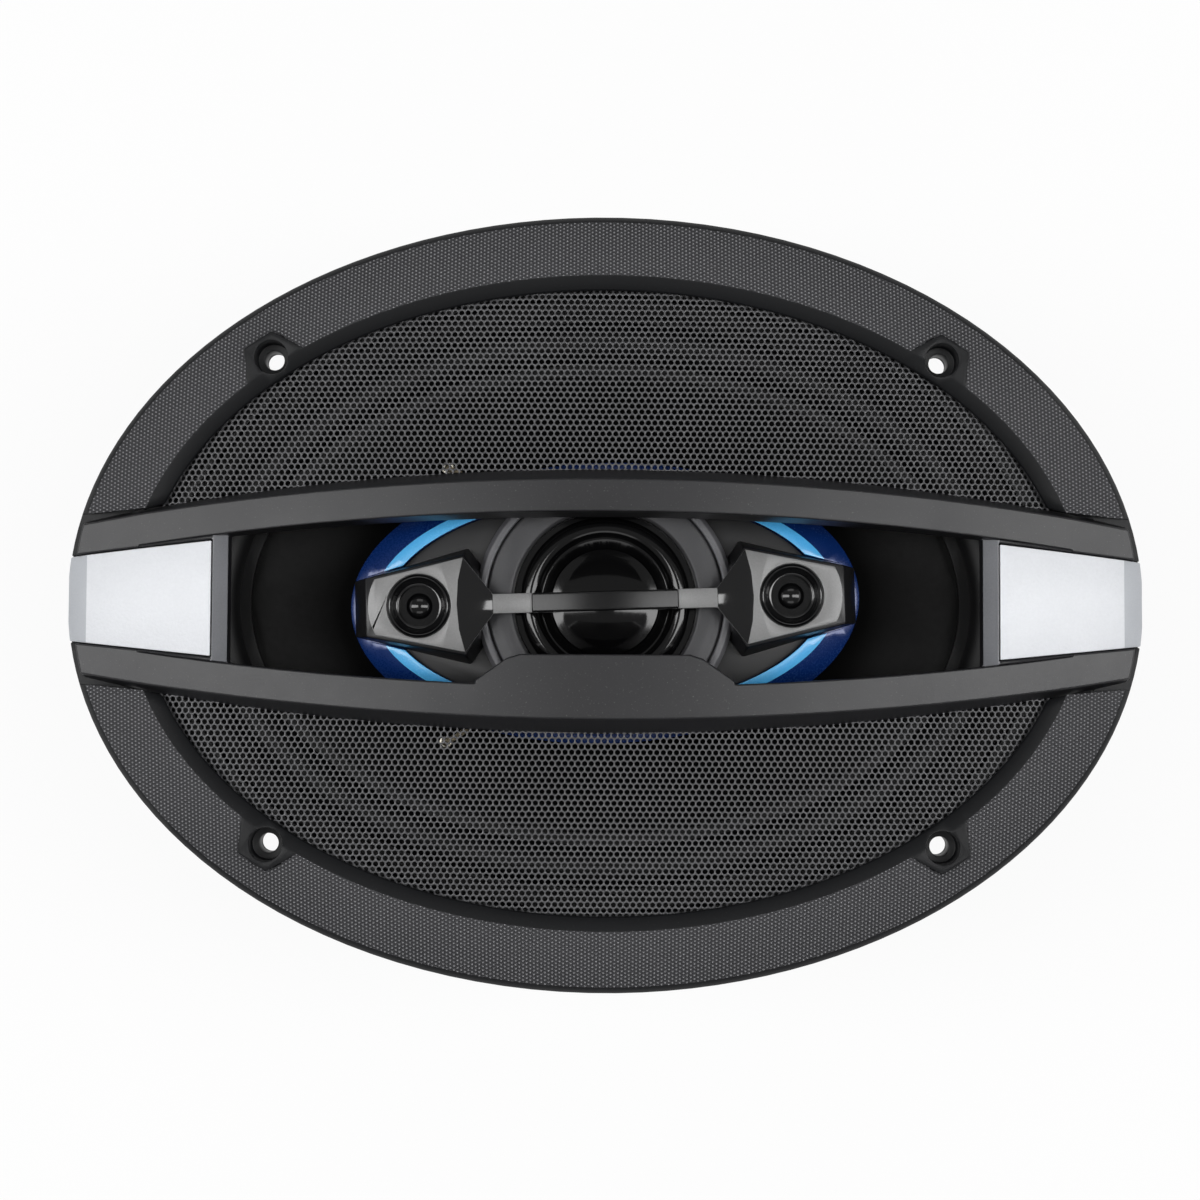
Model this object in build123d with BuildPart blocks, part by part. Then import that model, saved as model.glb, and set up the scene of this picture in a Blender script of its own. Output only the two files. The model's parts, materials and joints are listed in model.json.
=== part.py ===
from build123d import *
import os
from math import asin, cos, degrees, pi, radians, sin, sqrt, tan

# Oval two-and-a-half-way coaxial car speaker, in millimetres.
# Z = 0 is the panel face that the mounting flange bears on, +Z points at the listener,
# X runs along the oval, and the origin is the centre of the four screw holes.

os.makedirs("parts", exist_ok=True)

# ---------------------------------------------------------------- driving dimensions
hole_x = 76.0               # screw holes: half the spacing along X
hole_y = 55.0               # screw holes: half the spacing along Y
hole_r = 2.2
sink_r = 3.75               # well for the head of a mounting screw
ledge_z = 5.8               # floor of that well
boss_r = 5.4

frame_a = 122.5             # grille frame: half length and half width of its rim
frame_b = 88.5
skirt_wall = 2.2
skirt_h = 6.0
rim_round = 1.6             # width and height of the rim's sloping edge
face_w = 12.8               # textured face, from the rim's edge to the inner band
face_z = 11.0               # height of the face at its inner edge, and of the screw pads
band_w = 3.1                # smooth band that slopes down to the window
band_drop = 2.0
lip_t = 1.0                 # thickness of the window's lip, which the mesh bears on
frame_wall = 2.4

steel = 1.2                 # basket sheet
flange_a = 114.5
flange_b = 81.25
well_a = 101.3              # recess for the cone's edge, inside the flange
well_b = 71.3
landing_z = -5.0            # face that the cone's edge is glued to
landing_w = 5.6
shelf_z = -40.0             # face that the spider is glued to
shelf_r = 49.5
shelf_w = 5.5
cup_r = 41.0                # inside radius of the basket's bottom
basket_z = -53.0            # back face of the basket, on the magnet's top plate
windows = 12                # openings in its wall, wider towards the rim
window_top = -13.0
window_bottom = -36.0
window_inner = (40.0, 7.0)  # distance from the centre and half width, at each end
window_outer = (110.0, 12.6)
rivet_ring_r = 32.0         # rivets that hold the basket to the top plate
rivet_r = 1.5
rivet_head_w = 1.4
rivet_head_h = 1.1
gasket_h = 4.6

roll_a = 90.0               # middle line of the cone's rolled edge
roll_b = 61.0
roll_half = 5.0
roll_wall = 0.6
soft_gap = 0.3              # space left between a soft piece and what another body holds

neck_z = -35.5              # back end of the cone
cone_t = 1.0
coil_r = 16.2               # outside radius of the woofer's coil former
former_t = 0.4
winding_t = 0.8
winding_h = 14.0
former_bottom = -63.0
former_top = -33.0
magnetic_gap = 0.6

top_plate_t = 5.0
top_plate_r = 46.0
magnet_r = 47.5
magnet_hole_r = 24.0
magnet_h = 17.0
back_plate_t = 5.0
pole_rise = 0.5             # how far the pole stands past the top plate
boot_wall = 2.2
boot_lip_t = 4.0
boot_lip_w = 12.0

pod_turn = 1.9              # the coaxial pod sits turned by this much about Z, in degrees
pod_a = 58.4                # blue trim ring: half length and half width
pod_b = 32.3
stripe_a = 53.2
stripe_b = 26.6
plate_a = 50.0
plate_b = 24.3
pod_rim_z = 2.0
stripe_z = 4.4
crest_z = 5.0
pod_seat_z = 3.0            # top of the pod's face plate
pod_floor_z = -12.2         # underside of the pod
pod_wall = 1.6
post_r = 6.0
post_foot_r = 10.0
post_foot_t = 2.0
stem_r = 4.5                # threaded end of the post, through the pole
wire_bore_r = 2.6

collar_r = 29.5
collar_w = 2.4
collar_z = 7.0
mid_hole_r = 20.9
mid_coil_r = 8.25
mid_roll_r = 17.1
mid_roll_half = 2.35

tweeter_x = 41.9
tweeter_face_z = 13.0
tweeter_r = 7.1
tweeter_dome_r = 3.0
tweeter_seat_z = 6.2        # floor under the tweeters

bar_top_z = 24.0            # the two grille bars arch over the speaker, this high at X = 0
bar_end_z = 12.8            # and this high where the arch ends
bar_end_run = 17.5          # from the arch's end to the rim
bar_outer_y = 26.4          # front edges of a bar at X = 0
bar_inner_y = 19.2
bar_pull_in = 7.4           # how far those edges come in by the arch's end
bar_draft = 0.267           # outward slope of a bar's outer side
bar_wall = 2.2
bar_foot_z = 8.0
facet_run = 16.0            # length and outer height of the facet beyond the arch
facet_z = 8.0
seat_z = 6.0                # floor that the bar ends sit on
dome_h = 5.0                # rise of the mesh
mesh_t = 0.8

plate_x = 87.7              # silver end plates: inner end, and half widths at both ends
plate_in_y = 12.9
plate_out_y = 9.5
plate_t = 1.4
plate_sink = 0.3
plate_tip_run = 4.8         # length of their steeper outer end
plate_tip_z = 6.0
web_x = 84.8                # inner end of the web between the bars, and the top of its wall
web_z = 12.0
clearance = 0.3             # between mouldings that fit into each other
screw_r = 1.25              # screws that hold the bars
screw_in = 10.5             # from the rim to a screw, along X
screw_y = 13.4

lead_r = 0.7
eyelet_x = 37.5             # brass eyelets in the cone that the leads go through
eyelet_y = 32.5
eyelet_r = 1.5

# ---------------------------------------------------------------- worked-out sizes
rim_a = frame_a - rim_round
rim_b = frame_b - rim_round
rim_z = skirt_h + rim_round
face_a = rim_a - face_w
face_b = rim_b - face_w
window_a = face_a - band_w
window_b = face_b - band_w
lip_z = face_z - band_drop - lip_t
mesh_a = window_a + 1.0
mesh_b = window_b + 1.0
mesh_z = lip_z - 0.2

bar_end_x = frame_a - bar_end_run
facet_x = bar_end_x + facet_run
bar_rise_r = bar_end_x**2 / (2 * (bar_top_z - bar_end_z))
bar_sweep_r = bar_end_x**2 / (2 * bar_pull_in)
plate_end_x = frame_a - 0.2
plate_break_x = plate_end_x - plate_tip_run
screw_x = frame_a - screw_in

top_plate_z = basket_z
magnet_z = top_plate_z - top_plate_t
back_plate_z = magnet_z - magnet_h
back_z = back_plate_z - back_plate_t
foot_z = back_z - boot_lip_t
pole_top_z = top_plate_z + pole_rise
pole_r = coil_r - former_t - 0.5
gap_r = coil_r + winding_t + magnetic_gap
coil_middle_z = top_plate_z - top_plate_t / 2

corners = [(sx * hole_x, sy * hole_y) for sx in (-1, 1) for sy in (-1, 1)]
pod_xy = Plane.XY.rotated((0, 0, pod_turn))


# ---------------------------------------------------------------- shared shapes
def oval(a, b, plane):
    """A filled ellipse with half length a and half width b."""
    with BuildSketch(plane) as outline:
        Ellipse(a, b)
    return outline.sketch


def oval_stack(levels, base=Plane.XY, ruled=True, mode=Mode.ADD):
    """Loft through ellipses given as (half length, half width, height)."""
    loft([oval(a, b, base.offset(z)) for a, b, z in levels], ruled=ruled, mode=mode)


def upright(x=0.0, y=0.0):
    """The plane that holds a turned piece's section: its x is radius, its y is height."""
    return Plane(origin=(x, y, 0), x_dir=(1, 0, 0), z_dir=(0, -1, 0))


def turned(points, x=0.0, y=0.0, mode=Mode.ADD):
    """Revolve a closed outline of (radius, height) points about a vertical axis."""
    with BuildSketch(upright(x, y)) as section:
        with BuildLine():
            Polyline(*points, close=True)
        make_face()
    revolve(section.sketch, axis=Axis((x, y, 0), (0, 0, 1)), mode=mode)


def ring(outer_r, inner_r, bottom_z, top_z, x=0.0, y=0.0, mode=Mode.ADD):
    """A plain round ring; an inner radius of 0 makes a disc."""
    turned([(inner_r, bottom_z), (outer_r, bottom_z), (outer_r, top_z), (inner_r, top_z)], x, y, mode)


def domed_cap(radius, rim_z, rise, wall, x=0.0, y=0.0):
    """A thin spherical cap: its rim is at rim_z and its crown is rise above it."""
    sphere_r = (radius**2 + rise**2) / (2 * rise)
    sphere_z = rim_z + rise - sphere_r
    spread = degrees(asin(radius / sphere_r))
    with BuildSketch(upright(x, y)) as section:
        with BuildLine():
            outer = CenterArc((0, sphere_z), sphere_r, 90 - spread, spread)
            inner = CenterArc((0, sphere_z), sphere_r - wall, 90 - spread, spread)
            Line(outer @ 0, inner @ 0)
            Line(outer @ 1, inner @ 1)
        make_face()
    revolve(section.sketch, axis=Axis((x, y, 0), (0, 0, 1)))


def roll_section(plane, middle, half, base_z, wall, inner_lip, outer_lip):
    """Section of a rolled edge: a half round between two flat lips."""
    foot = sqrt(half**2 - wall**2)
    with BuildSketch(plane) as section:
        with BuildLine():
            Polyline(
                (middle - half + wall, base_z),
                (middle - half - inner_lip, base_z),
                (middle - half - inner_lip, base_z + wall),
                (middle - foot, base_z + wall),
            )
            ThreePointArc(
                (middle - foot, base_z + wall), (middle, base_z + half), (middle + foot, base_z + wall)
            )
            Polyline(
                (middle + foot, base_z + wall),
                (middle + half + outer_lip, base_z + wall),
                (middle + half + outer_lip, base_z),
                (middle + half - wall, base_z),
            )
            ThreePointArc(
                (middle + half - wall, base_z), (middle, base_z + half - wall), (middle - half + wall, base_z)
            )
        make_face()
    return section.sketch


def route_radii(points):
    """Bend radii of a lead: each arc uses 0.45 of the shorter run beside its corner."""
    spots = [Vector(*p) for p in points]
    radii = []
    for before, corner, after in zip(spots, spots[1:], spots[2:]):
        run_in = corner - before
        run_out = after - corner
        half_turn = radians(run_in.get_angle(run_out)) / 2
        radii.append(0.45 * min(run_in.length, run_out.length) / tan(half_turn))
    return radii


def lead_part(points, wire_r, name):
    """A round lead along straight runs joined by tangent arcs."""
    radii = route_radii(points)
    with BuildPart() as lead:
        with BuildLine() as route:
            FilletPolyline(*points, radius=radii)
        path = route.wire()
        with BuildSketch(Plane(origin=path @ 0, z_dir=path % 0)):
            Circle(wire_r)
        sweep(path=path)
    length = path.length
    ratio = lead.part.volume / (pi * wire_r**2 * length)
    print(name, "length", round(length, 1), "radii", [round(r, 1) for r in radii], "volume", round(ratio, 3))
    return lead.part


def save(part, name):
    """Label a piece and write it to its own file."""
    part.label = name
    export_step(part, f"parts/{name}.step")


def pod_spot(x, y):
    """A point given in the pod's own turned frame, as (x, y) in the speaker's."""
    spot = pod_xy.from_local_coords(Vector(x, y, 0))
    return spot.X, spot.Y


# ---------------------------------------------------------------- bar and mesh curves
def bar_top(x):
    """Height of the bars' front faces."""
    return bar_top_z - x**2 / (2 * bar_rise_r)


def bar_edge(y_middle, x):
    """How far from the centre line a bar's front edge lies at x."""
    return y_middle - x**2 / (2 * bar_sweep_r)


def dome_z(x, y):
    """Height of the mesh's front face."""
    reach = (x / mesh_a) ** 2 + (y / mesh_b) ** 2
    return mesh_z + dome_h * (1 - reach)


def bar_foot(x):
    """Where a bar's sloping outer side ends: (distance from the centre line, height)."""
    top_y = bar_edge(bar_outer_y, x)
    z = dome_z(x, top_y + 3.0) - 1.2
    return top_y + bar_draft * (bar_top(x) - z), z


def bar_section(x):
    """Channel section of the lower bar at x."""
    top_z = bar_top(x)
    inner = bar_edge(bar_inner_y, x)
    outer = bar_edge(bar_outer_y, x)
    foot_y, foot_z_here = bar_foot(x)
    outline = [
        (inner, bar_foot_z),
        (inner, top_z),
        (outer, top_z),
        (foot_y, foot_z_here),
        (foot_y - bar_wall, foot_z_here),
        (outer - bar_wall, top_z - bar_wall),
        (inner + bar_wall, top_z - bar_wall),
        (inner + bar_wall, bar_foot_z),
    ]
    with BuildSketch(Plane.YZ.offset(x)) as section:
        with BuildLine():
            Polyline(*[(-y, z) for y, z in outline], close=True)
        make_face()
    return section.sketch


def end_section(x, top_z, bottom_z, spare):
    """Section across both bars' ends, widening towards its foot."""
    half = bar_edge(bar_outer_y, x) + spare
    foot = half + bar_draft * (top_z - bottom_z)
    with BuildSketch(Plane.YZ.offset(x)) as section:
        with BuildLine():
            Polyline((-half, top_z), (half, top_z), (foot, bottom_z), (-foot, bottom_z), close=True)
        make_face()
    return section.sketch


# ---------------------------------------------------------------- basket
with BuildPart() as basket:
    with BuildSketch():
        Ellipse(flange_a, flange_b)
    extrude(amount=steel)
    with BuildSketch(Plane.XY.offset(landing_z - steel)):
        Ellipse(well_a + steel, well_b + steel)
    extrude(amount=-landing_z + steel)
    wall_top = (well_a - landing_w + steel, well_b - landing_w + steel, landing_z - steel)
    wall_foot = (shelf_r + steel, shelf_r + steel, shelf_z + steel)
    oval_stack([wall_foot, wall_top])
    with BuildSketch(Plane.XY.offset(landing_z)):
        Ellipse(well_a, well_b)
    extrude(amount=-landing_z + steel, mode=Mode.SUBTRACT)
    inside_top = (well_a - landing_w, well_b - landing_w, landing_z)
    oval_stack([(shelf_r, shelf_r, shelf_z + steel), inside_top], mode=Mode.SUBTRACT)
    shelf_inner_r = shelf_r - shelf_w
    turned([
        (gap_r + 1.4, basket_z),
        (cup_r + steel, basket_z),
        (shelf_inner_r + steel, shelf_z - steel),
        (shelf_r + steel, shelf_z - steel),
        (shelf_r + steel, shelf_z + steel),
        (shelf_r, shelf_z + steel),
        (shelf_r, shelf_z),
        (shelf_inner_r, shelf_z),
        (cup_r, basket_z + steel),
        (gap_r + 1.4, basket_z + steel),
    ])
    with BuildSketch(Plane.XY.offset(window_bottom)):
        with PolarLocations(0, windows, start_angle=180 / windows):
            near, near_half = window_inner
            far, far_half = window_outer
            Polygon((near, -near_half), (far, -far_half), (far, far_half), (near, near_half), align=None)
    extrude(amount=window_top - window_bottom, mode=Mode.SUBTRACT)
    with BuildSketch():
        with Locations(*corners):
            Circle(hole_r)
    extrude(amount=steel, mode=Mode.SUBTRACT)
    with BuildSketch(Plane.XY.offset(basket_z)):
        with PolarLocations(rivet_ring_r, 4, start_angle=45):
            Circle(rivet_r)
    extrude(amount=steel, mode=Mode.SUBTRACT)
basket.part.label = "basket"
export_step(basket.part, "parts/basket.step")

with BuildPart() as cone_gasket:
    gasket_in = roll_half + 1.2
    with BuildSketch(Plane.XY.offset(landing_z + 2 * soft_gap + roll_wall)):
        Ellipse(well_a - 0.7, well_b - 0.7)
        Ellipse(roll_a + gasket_in, roll_b + gasket_in, mode=Mode.SUBTRACT)
    extrude(amount=gasket_h)
cone_gasket.part.label = "cone_gasket"
export_step(cone_gasket.part, "parts/cone_gasket.step")

# ---------------------------------------------------------------- magnet system
with BuildPart() as basket_rivets:
    for angle in (45, 135, 225, 315):
        rivet_x = rivet_ring_r * cos(radians(angle))
        rivet_y = rivet_ring_r * sin(radians(angle))
        ring(rivet_r, 0, top_plate_z - top_plate_t + 0.2, basket_z + steel, rivet_x, rivet_y)
        head_z = basket_z + steel
        ring(rivet_r + rivet_head_w, 0, head_z, head_z + rivet_head_h, rivet_x, rivet_y)
basket_rivets.part.label = "basket_rivets"
export_step(basket_rivets.part, "parts/basket_rivets.step")

with BuildPart() as top_plate:
    ring(top_plate_r, gap_r, magnet_z, top_plate_z)
    with BuildSketch(Plane.XY.offset(magnet_z)):
        with PolarLocations(rivet_ring_r, 4, start_angle=45):
            Circle(rivet_r)
    extrude(amount=top_plate_t, mode=Mode.SUBTRACT)
    chamfer(top_plate.edges().filter_by(GeomType.CIRCLE).sort_by(SortBy.RADIUS)[-2:], 0.5)
top_plate.part.label = "top_plate"
export_step(top_plate.part, "parts/top_plate.step")

with BuildPart() as magnet:
    ring(magnet_r, magnet_hole_r, back_plate_z, magnet_z)
    chamfer(magnet.edges().filter_by(GeomType.CIRCLE).sort_by(SortBy.RADIUS)[-2:], 1.0)
magnet.part.label = "magnet"
export_step(magnet.part, "parts/magnet.step")

nut_h = 3.0
nut_r = 8.0                 # across its corners, halved
nut_room_r = 9.5
with BuildPart() as pole_yoke:
    ring(top_plate_r, 0, back_z, back_plate_z)
    ring(pole_r, 0, back_plate_z, pole_top_z)
    ring(stem_r + 0.05, 0, back_z, pole_top_z, mode=Mode.SUBTRACT)
    ring(nut_room_r, 0, back_z, back_plate_z, mode=Mode.SUBTRACT)
    chamfer(pole_yoke.edges().filter_by(GeomType.CIRCLE).sort_by(SortBy.RADIUS)[-2:], 0.6)
pole_yoke.part.label = "pole_yoke"
export_step(pole_yoke.part, "parts/pole_yoke.step")

with BuildPart() as magnet_boot:
    boot_r = magnet_r + clearance + boot_wall
    ring(boot_r, 0, foot_z, top_plate_z - 3.0)
    ring(magnet_r + clearance, 0, back_z, top_plate_z, mode=Mode.SUBTRACT)
    ring(boot_r - boot_lip_w, 0, foot_z, back_z, mode=Mode.SUBTRACT)
    foot_edges = magnet_boot.edges().filter_by(GeomType.CIRCLE).group_by(Axis.Z)[0]
    chamfer(foot_edges.sort_by(SortBy.RADIUS)[-1:], 1.2)
    wire_slot_w = 5.4
    with BuildSketch(Plane.XY.offset(foot_z)):
        with Locations((-boot_r, 0)):
            Rectangle(2 * boot_lip_w + 4, wire_slot_w)
    extrude(amount=boot_lip_t, mode=Mode.SUBTRACT)
magnet_boot.part.label = "magnet_boot"
export_step(magnet_boot.part, "parts/magnet_boot.step")

# ---------------------------------------------------------------- woofer cone, coil and suspension
rim_flange_z = landing_z - 0.4
rim_flange_t = 0.8
cone_gap = 2.4              # from the cone's mouth to the roll, and the flange the roll is glued to
cone_flange_w = 2.9
with BuildPart() as woofer_cone:
    mouth_a = roll_a - roll_half - cone_gap
    mouth_b = roll_b - roll_half - cone_gap
    middle_z = (rim_flange_z + neck_z) / 2
    back_face = [
        (coil_r + 1.0, coil_r + 1.0, neck_z),
        (0.56 * mouth_a, 0.62 * mouth_b, middle_z),
        (mouth_a, mouth_b, rim_flange_z + 0.6),
    ]
    oval_stack(back_face, ruled=False)
    with BuildSketch(Plane.XY.offset(rim_flange_z - 0.4)):
        Ellipse(mouth_a + cone_flange_w, mouth_b + cone_flange_w)
    extrude(amount=rim_flange_t)
    oval_stack([(a, b, z + cone_t) for a, b, z in back_face], ruled=False, mode=Mode.SUBTRACT)
    ring(coil_r + 1.2, 0, neck_z - 1.2, neck_z + 1.6)
    ring(coil_r, 0, neck_z - 2.0, neck_z + 12.0, mode=Mode.SUBTRACT)
    with BuildSketch(Plane.XY.offset(neck_z)):
        with Locations((-eyelet_x, eyelet_y), (-eyelet_x, -eyelet_y)):
            Circle(eyelet_r)
    extrude(amount=-neck_z, mode=Mode.SUBTRACT)
woofer_cone.part.label = "woofer_cone"
export_step(woofer_cone.part, "parts/woofer_cone.step")

with BuildPart() as woofer_surround:
    roll_line = oval(roll_a, roll_b, Plane.XY).wire()
    lip_base = landing_z + soft_gap
    sweep(roll_section(upright(), roll_a, roll_half, lip_base, roll_wall, 2.6, 4.2), path=roll_line)
woofer_surround.part.label = "woofer_surround"
export_step(woofer_surround.part, "parts/woofer_surround.step")

with BuildPart() as voice_coil_former:
    ring(coil_r, coil_r - former_t, former_bottom, former_top)
voice_coil_former.part.label = "voice_coil_former"
export_step(voice_coil_former.part, "parts/voice_coil_former.step")

with BuildPart() as voice_coil_winding:
    ring(coil_r + winding_t, coil_r, coil_middle_z - winding_h / 2, coil_middle_z + winding_h / 2)
voice_coil_winding.part.label = "voice_coil_winding"
export_step(voice_coil_winding.part, "parts/voice_coil_winding.step")

spider_t = 0.5
spider_waves = 5
spider_height = 1.3
spider_z = shelf_z + soft_gap
with BuildPart() as spider:
    wave_in = coil_r + 2.0
    wave_out = shelf_r - shelf_w - 0.6
    half_wave = (wave_out - wave_in) / (2 * spider_waves)
    spider_out = shelf_r - 0.6
    with BuildSketch(upright()):
        with BuildLine():
            for level in (spider_z, spider_z + spider_t):
                Line((coil_r, level), (wave_in, level))
                for step in range(2 * spider_waves):
                    left = wave_in + step * half_wave
                    crest = level + spider_height * (1 if step % 2 == 0 else -1)
                    ThreePointArc((left, level), (left + half_wave / 2, crest), (left + half_wave, level))
                Line((wave_out, level), (spider_out, level))
            Line((coil_r, spider_z), (coil_r, spider_z + spider_t))
            Line((spider_out, spider_z), (spider_out, spider_z + spider_t))
        make_face()
    revolve(axis=Axis.Z)
spider.part.label = "spider"
export_step(spider.part, "parts/spider.step")

with BuildPart() as lead_eyelets:
    for side in (-1, 1):
        ring(eyelet_r, lead_r + 0.15, -18.4, -12.6, -eyelet_x, side * eyelet_y)
lead_eyelets.part.label = "lead_eyelets"
export_step(lead_eyelets.part, "parts/lead_eyelets.step")

# ---------------------------------------------------------------- terminals on the basket's leg
leg_top = Vector(-wall_top[0], 0, wall_top[2])
leg_foot = Vector(-wall_foot[0], 0, wall_foot[2])
leg_run = (leg_foot - leg_top).normalized()
leg_out = leg_run.cross(Vector(0, 1, 0)).normalized()
board_gap = 0.2
board_t = 1.6
board_w = 17.0
board_up = 13.5
board_down = 12.0
leg_middle = (leg_top + leg_foot) * 0.5
if leg_out.X > 0:
    leg_out = leg_out * -1
board_plane = Plane(origin=leg_middle + leg_out * board_gap, x_dir=(0, 1, 0), z_dir=leg_out)
tab_x = 4.3
tab_t = 0.8
rivet_v = 10.0

with BuildPart() as terminal_board:
    with BuildSketch(board_plane):
        with Locations((0, (board_down - board_up) / 2)):
            RectangleRounded(board_w, board_up + board_down, 1.5)
        with Locations((0, rivet_v), (0, -2.2)):
            Circle(rivet_r, mode=Mode.SUBTRACT)
    extrude(amount=board_t)
terminal_board.part.label = "terminal_board"
export_step(terminal_board.part, "parts/terminal_board.step")


def blade_terminal(side, width):
    """An L-shaped blade: a foot flat on the board and a tongue standing off it."""
    with BuildPart() as terminal:
        with BuildSketch(board_plane.offset(board_t)):
            with Locations((side * tab_x, 1.0)):
                Rectangle(5.0, 8.0)
        extrude(amount=tab_t)
        with BuildSketch(board_plane.offset(board_t)):
            with Locations((side * (tab_x + (width - 5.0) / 2), -3.0 + tab_t / 2)):
                Rectangle(width, tab_t)
        extrude(amount=9.0)
    return terminal.part


save(blade_terminal(1, 6.3), "terminal_positive")
save(blade_terminal(-1, 4.8), "terminal_negative")

with BuildPart() as terminal_rivets:
    for rivet_at in (rivet_v, -2.2):
        with BuildSketch(board_plane.offset(-board_gap)):
            with Locations((0, rivet_at)):
                Circle(rivet_r - 0.05)
        extrude(amount=board_t + board_gap)
        with BuildSketch(board_plane.offset(board_t)):
            with Locations((0, rivet_at)):
                Circle(rivet_r + 0.3)
        extrude(amount=0.8)
terminal_rivets.part.label = "terminal_rivets"
export_step(terminal_rivets.part, "parts/terminal_rivets.step")


def board_spot(u, v, w):
    """A point given on the terminal board: across it, along the leg and out from it."""
    spot = board_plane.from_local_coords(Vector(u, v, w))
    return spot.X, spot.Y, spot.Z


lead_w = board_t + tab_t + lead_r
for side, name in ((1, "tinsel_lead_positive"), (-1, "tinsel_lead_negative")):
    route = [
        board_spot(side * (tab_x + 1.6), 4.2, lead_w),
        board_spot(side * (tab_x + 7.5), 3.0, lead_w + 1.0),
        (-69.5, side * 18.0, -28.5),
        (-60.5, side * 20.5, -26.5),
        (-51.5, side * 26.0, -27.0),
        (-43.0, side * 31.0, -26.5),
        (-eyelet_x, side * eyelet_y, -21.5),
        (-eyelet_x, side * eyelet_y + side * 0.05, -17.0),
    ]
    save(lead_part(route, lead_r, name), name)

for side, name in ((1, "cone_lead_positive"), (-1, "cone_lead_negative")):
    route = [
        (-eyelet_x, side * eyelet_y, -13.6),
        (-eyelet_x + 0.3, side * (eyelet_y - 0.2), -11.4),
        (-eyelet_x + 3.4, side * (eyelet_y - 1.6), -10.8),
        (-eyelet_x + 6.6, side * (eyelet_y - 4.6), -13.4),
    ]
    save(lead_part(route, lead_r, name), name)

wire_r = 0.7
wire_y = 0.85               # the two insulated wires lie side by side
wire_x = -boot_r - 1.5
wire_bends = [1.6, 2.4, 2.4, 8.0, 10.0, 8.0]
with BuildPart() as pod_wires:
    for side in (-1, 1):
        y = side * wire_y
        low_z = back_z - 1.6
        route = [
            (-15.0, y, pod_floor_z + pod_wall + 1.0),
            (0.0, y, pod_floor_z + pod_wall + 1.0),
            (0.0, y, low_z),
            (wire_x, y, low_z),
            (wire_x, y * 1.1, -49.0),
            (-57.5, y * 1.6, -40.5),
            board_spot(side * 2.6, 9.5, lead_w + 1.6),
            board_spot(side * tab_x, 4.8, lead_w + 0.2),
        ]
        with BuildLine() as wire_line:
            FilletPolyline(*route, radius=wire_bends)
        wire_path = wire_line.wire()
        with BuildSketch(Plane(origin=wire_path @ 0, z_dir=wire_path % 0)) as wire_section:
            Circle(wire_r)
        sweep(wire_section.sketch, path=wire_path)
pod_wires.part.label = "pod_wires"
export_step(pod_wires.part, "parts/pod_wires.step")

# ---------------------------------------------------------------- pod: post, housing and trim
nut_z = back_plate_z - nut_h
with BuildPart() as pod_post:
    ring(post_foot_r, 0, pole_top_z, pole_top_z + post_foot_t)
    ring(post_r, 0, pole_top_z, pod_floor_z)
    ring(stem_r, 0, nut_z - 0.4, pole_top_z)
    ring(wire_bore_r, 0, nut_z - 0.4, pod_floor_z, mode=Mode.SUBTRACT)
pod_post.part.label = "pod_post"
export_step(pod_post.part, "parts/pod_post.step")

with BuildPart() as pod_nut:
    with BuildSketch(Plane.XY.offset(nut_z)):
        RegularPolygon(nut_r, 6)
        Circle(stem_r + 0.05, mode=Mode.SUBTRACT)
    extrude(amount=nut_h)
pod_nut.part.label = "pod_nut"
export_step(pod_nut.part, "parts/pod_nut.step")

pod_top_z = 1.2
socket_h = 6.0
with BuildPart() as pod_housing:
    floor_a = 0.72 * pod_a
    floor_b = 0.66 * pod_b
    oval_stack([(floor_a, floor_b, pod_floor_z), (pod_a - 1.0, pod_b - 1.0, pod_top_z)], pod_xy)
    cavity = [
        (floor_a - pod_wall, floor_b - pod_wall, pod_floor_z + pod_wall),
        (pod_a - 1.0 - pod_wall, pod_b - 1.0 - pod_wall, pod_top_z),
    ]
    oval_stack(cavity, pod_xy, mode=Mode.SUBTRACT)
    ring(post_r + 2.2, post_r + 0.05, pod_floor_z - socket_h, pod_floor_z)
    ring(wire_bore_r, 0, pod_floor_z, pod_floor_z + pod_wall, mode=Mode.SUBTRACT)
pod_housing.part.label = "pod_housing"
export_step(pod_housing.part, "parts/pod_housing.step")

pod_base_corners = [(57.4, -6.4), (57.4, 6.4), (31.0, 13.4), (27.0, 8.0), (27.0, -8.0), (31.0, -13.4)]


def pod_base(side, spare, plane):
    """Plan outline of a tweeter pod's foot, with some room added round it."""
    with BuildSketch(plane) as outline:
        with BuildLine():
            Polyline(*[(side * x, y) for x, y in pod_base_corners], close=True)
        make_face()
        if spare:
            offset(amount=spare)
    return outline.sketch


with BuildPart() as pod_trim_ring:
    slope = [
        (pod_a, pod_b, pod_top_z),
        (pod_a, pod_b, pod_rim_z),
        (stripe_a, stripe_b, stripe_z),
        (plate_a, plate_b, crest_z),
    ]
    oval_stack(slope, pod_xy)
    ledge_z_pod = pod_seat_z - 1.0
    with BuildSketch(pod_xy.offset(ledge_z_pod)):
        Ellipse(plate_a, plate_b)
    extrude(amount=crest_z, mode=Mode.SUBTRACT)
    with BuildSketch(pod_xy.offset(pod_top_z)):
        Ellipse(plate_a - 1.6, plate_b - 1.6)
    extrude(amount=crest_z, mode=Mode.SUBTRACT)
    ring(collar_r + 0.2, 0, pod_seat_z, collar_z, mode=Mode.SUBTRACT)
    for side in (-1, 1):
        extrude(pod_base(side, 0.2, pod_xy.offset(pod_seat_z)), amount=crest_z, mode=Mode.SUBTRACT)
pod_trim_ring.part.label = "pod_trim_ring"
export_step(pod_trim_ring.part, "parts/pod_trim_ring.step")

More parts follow.
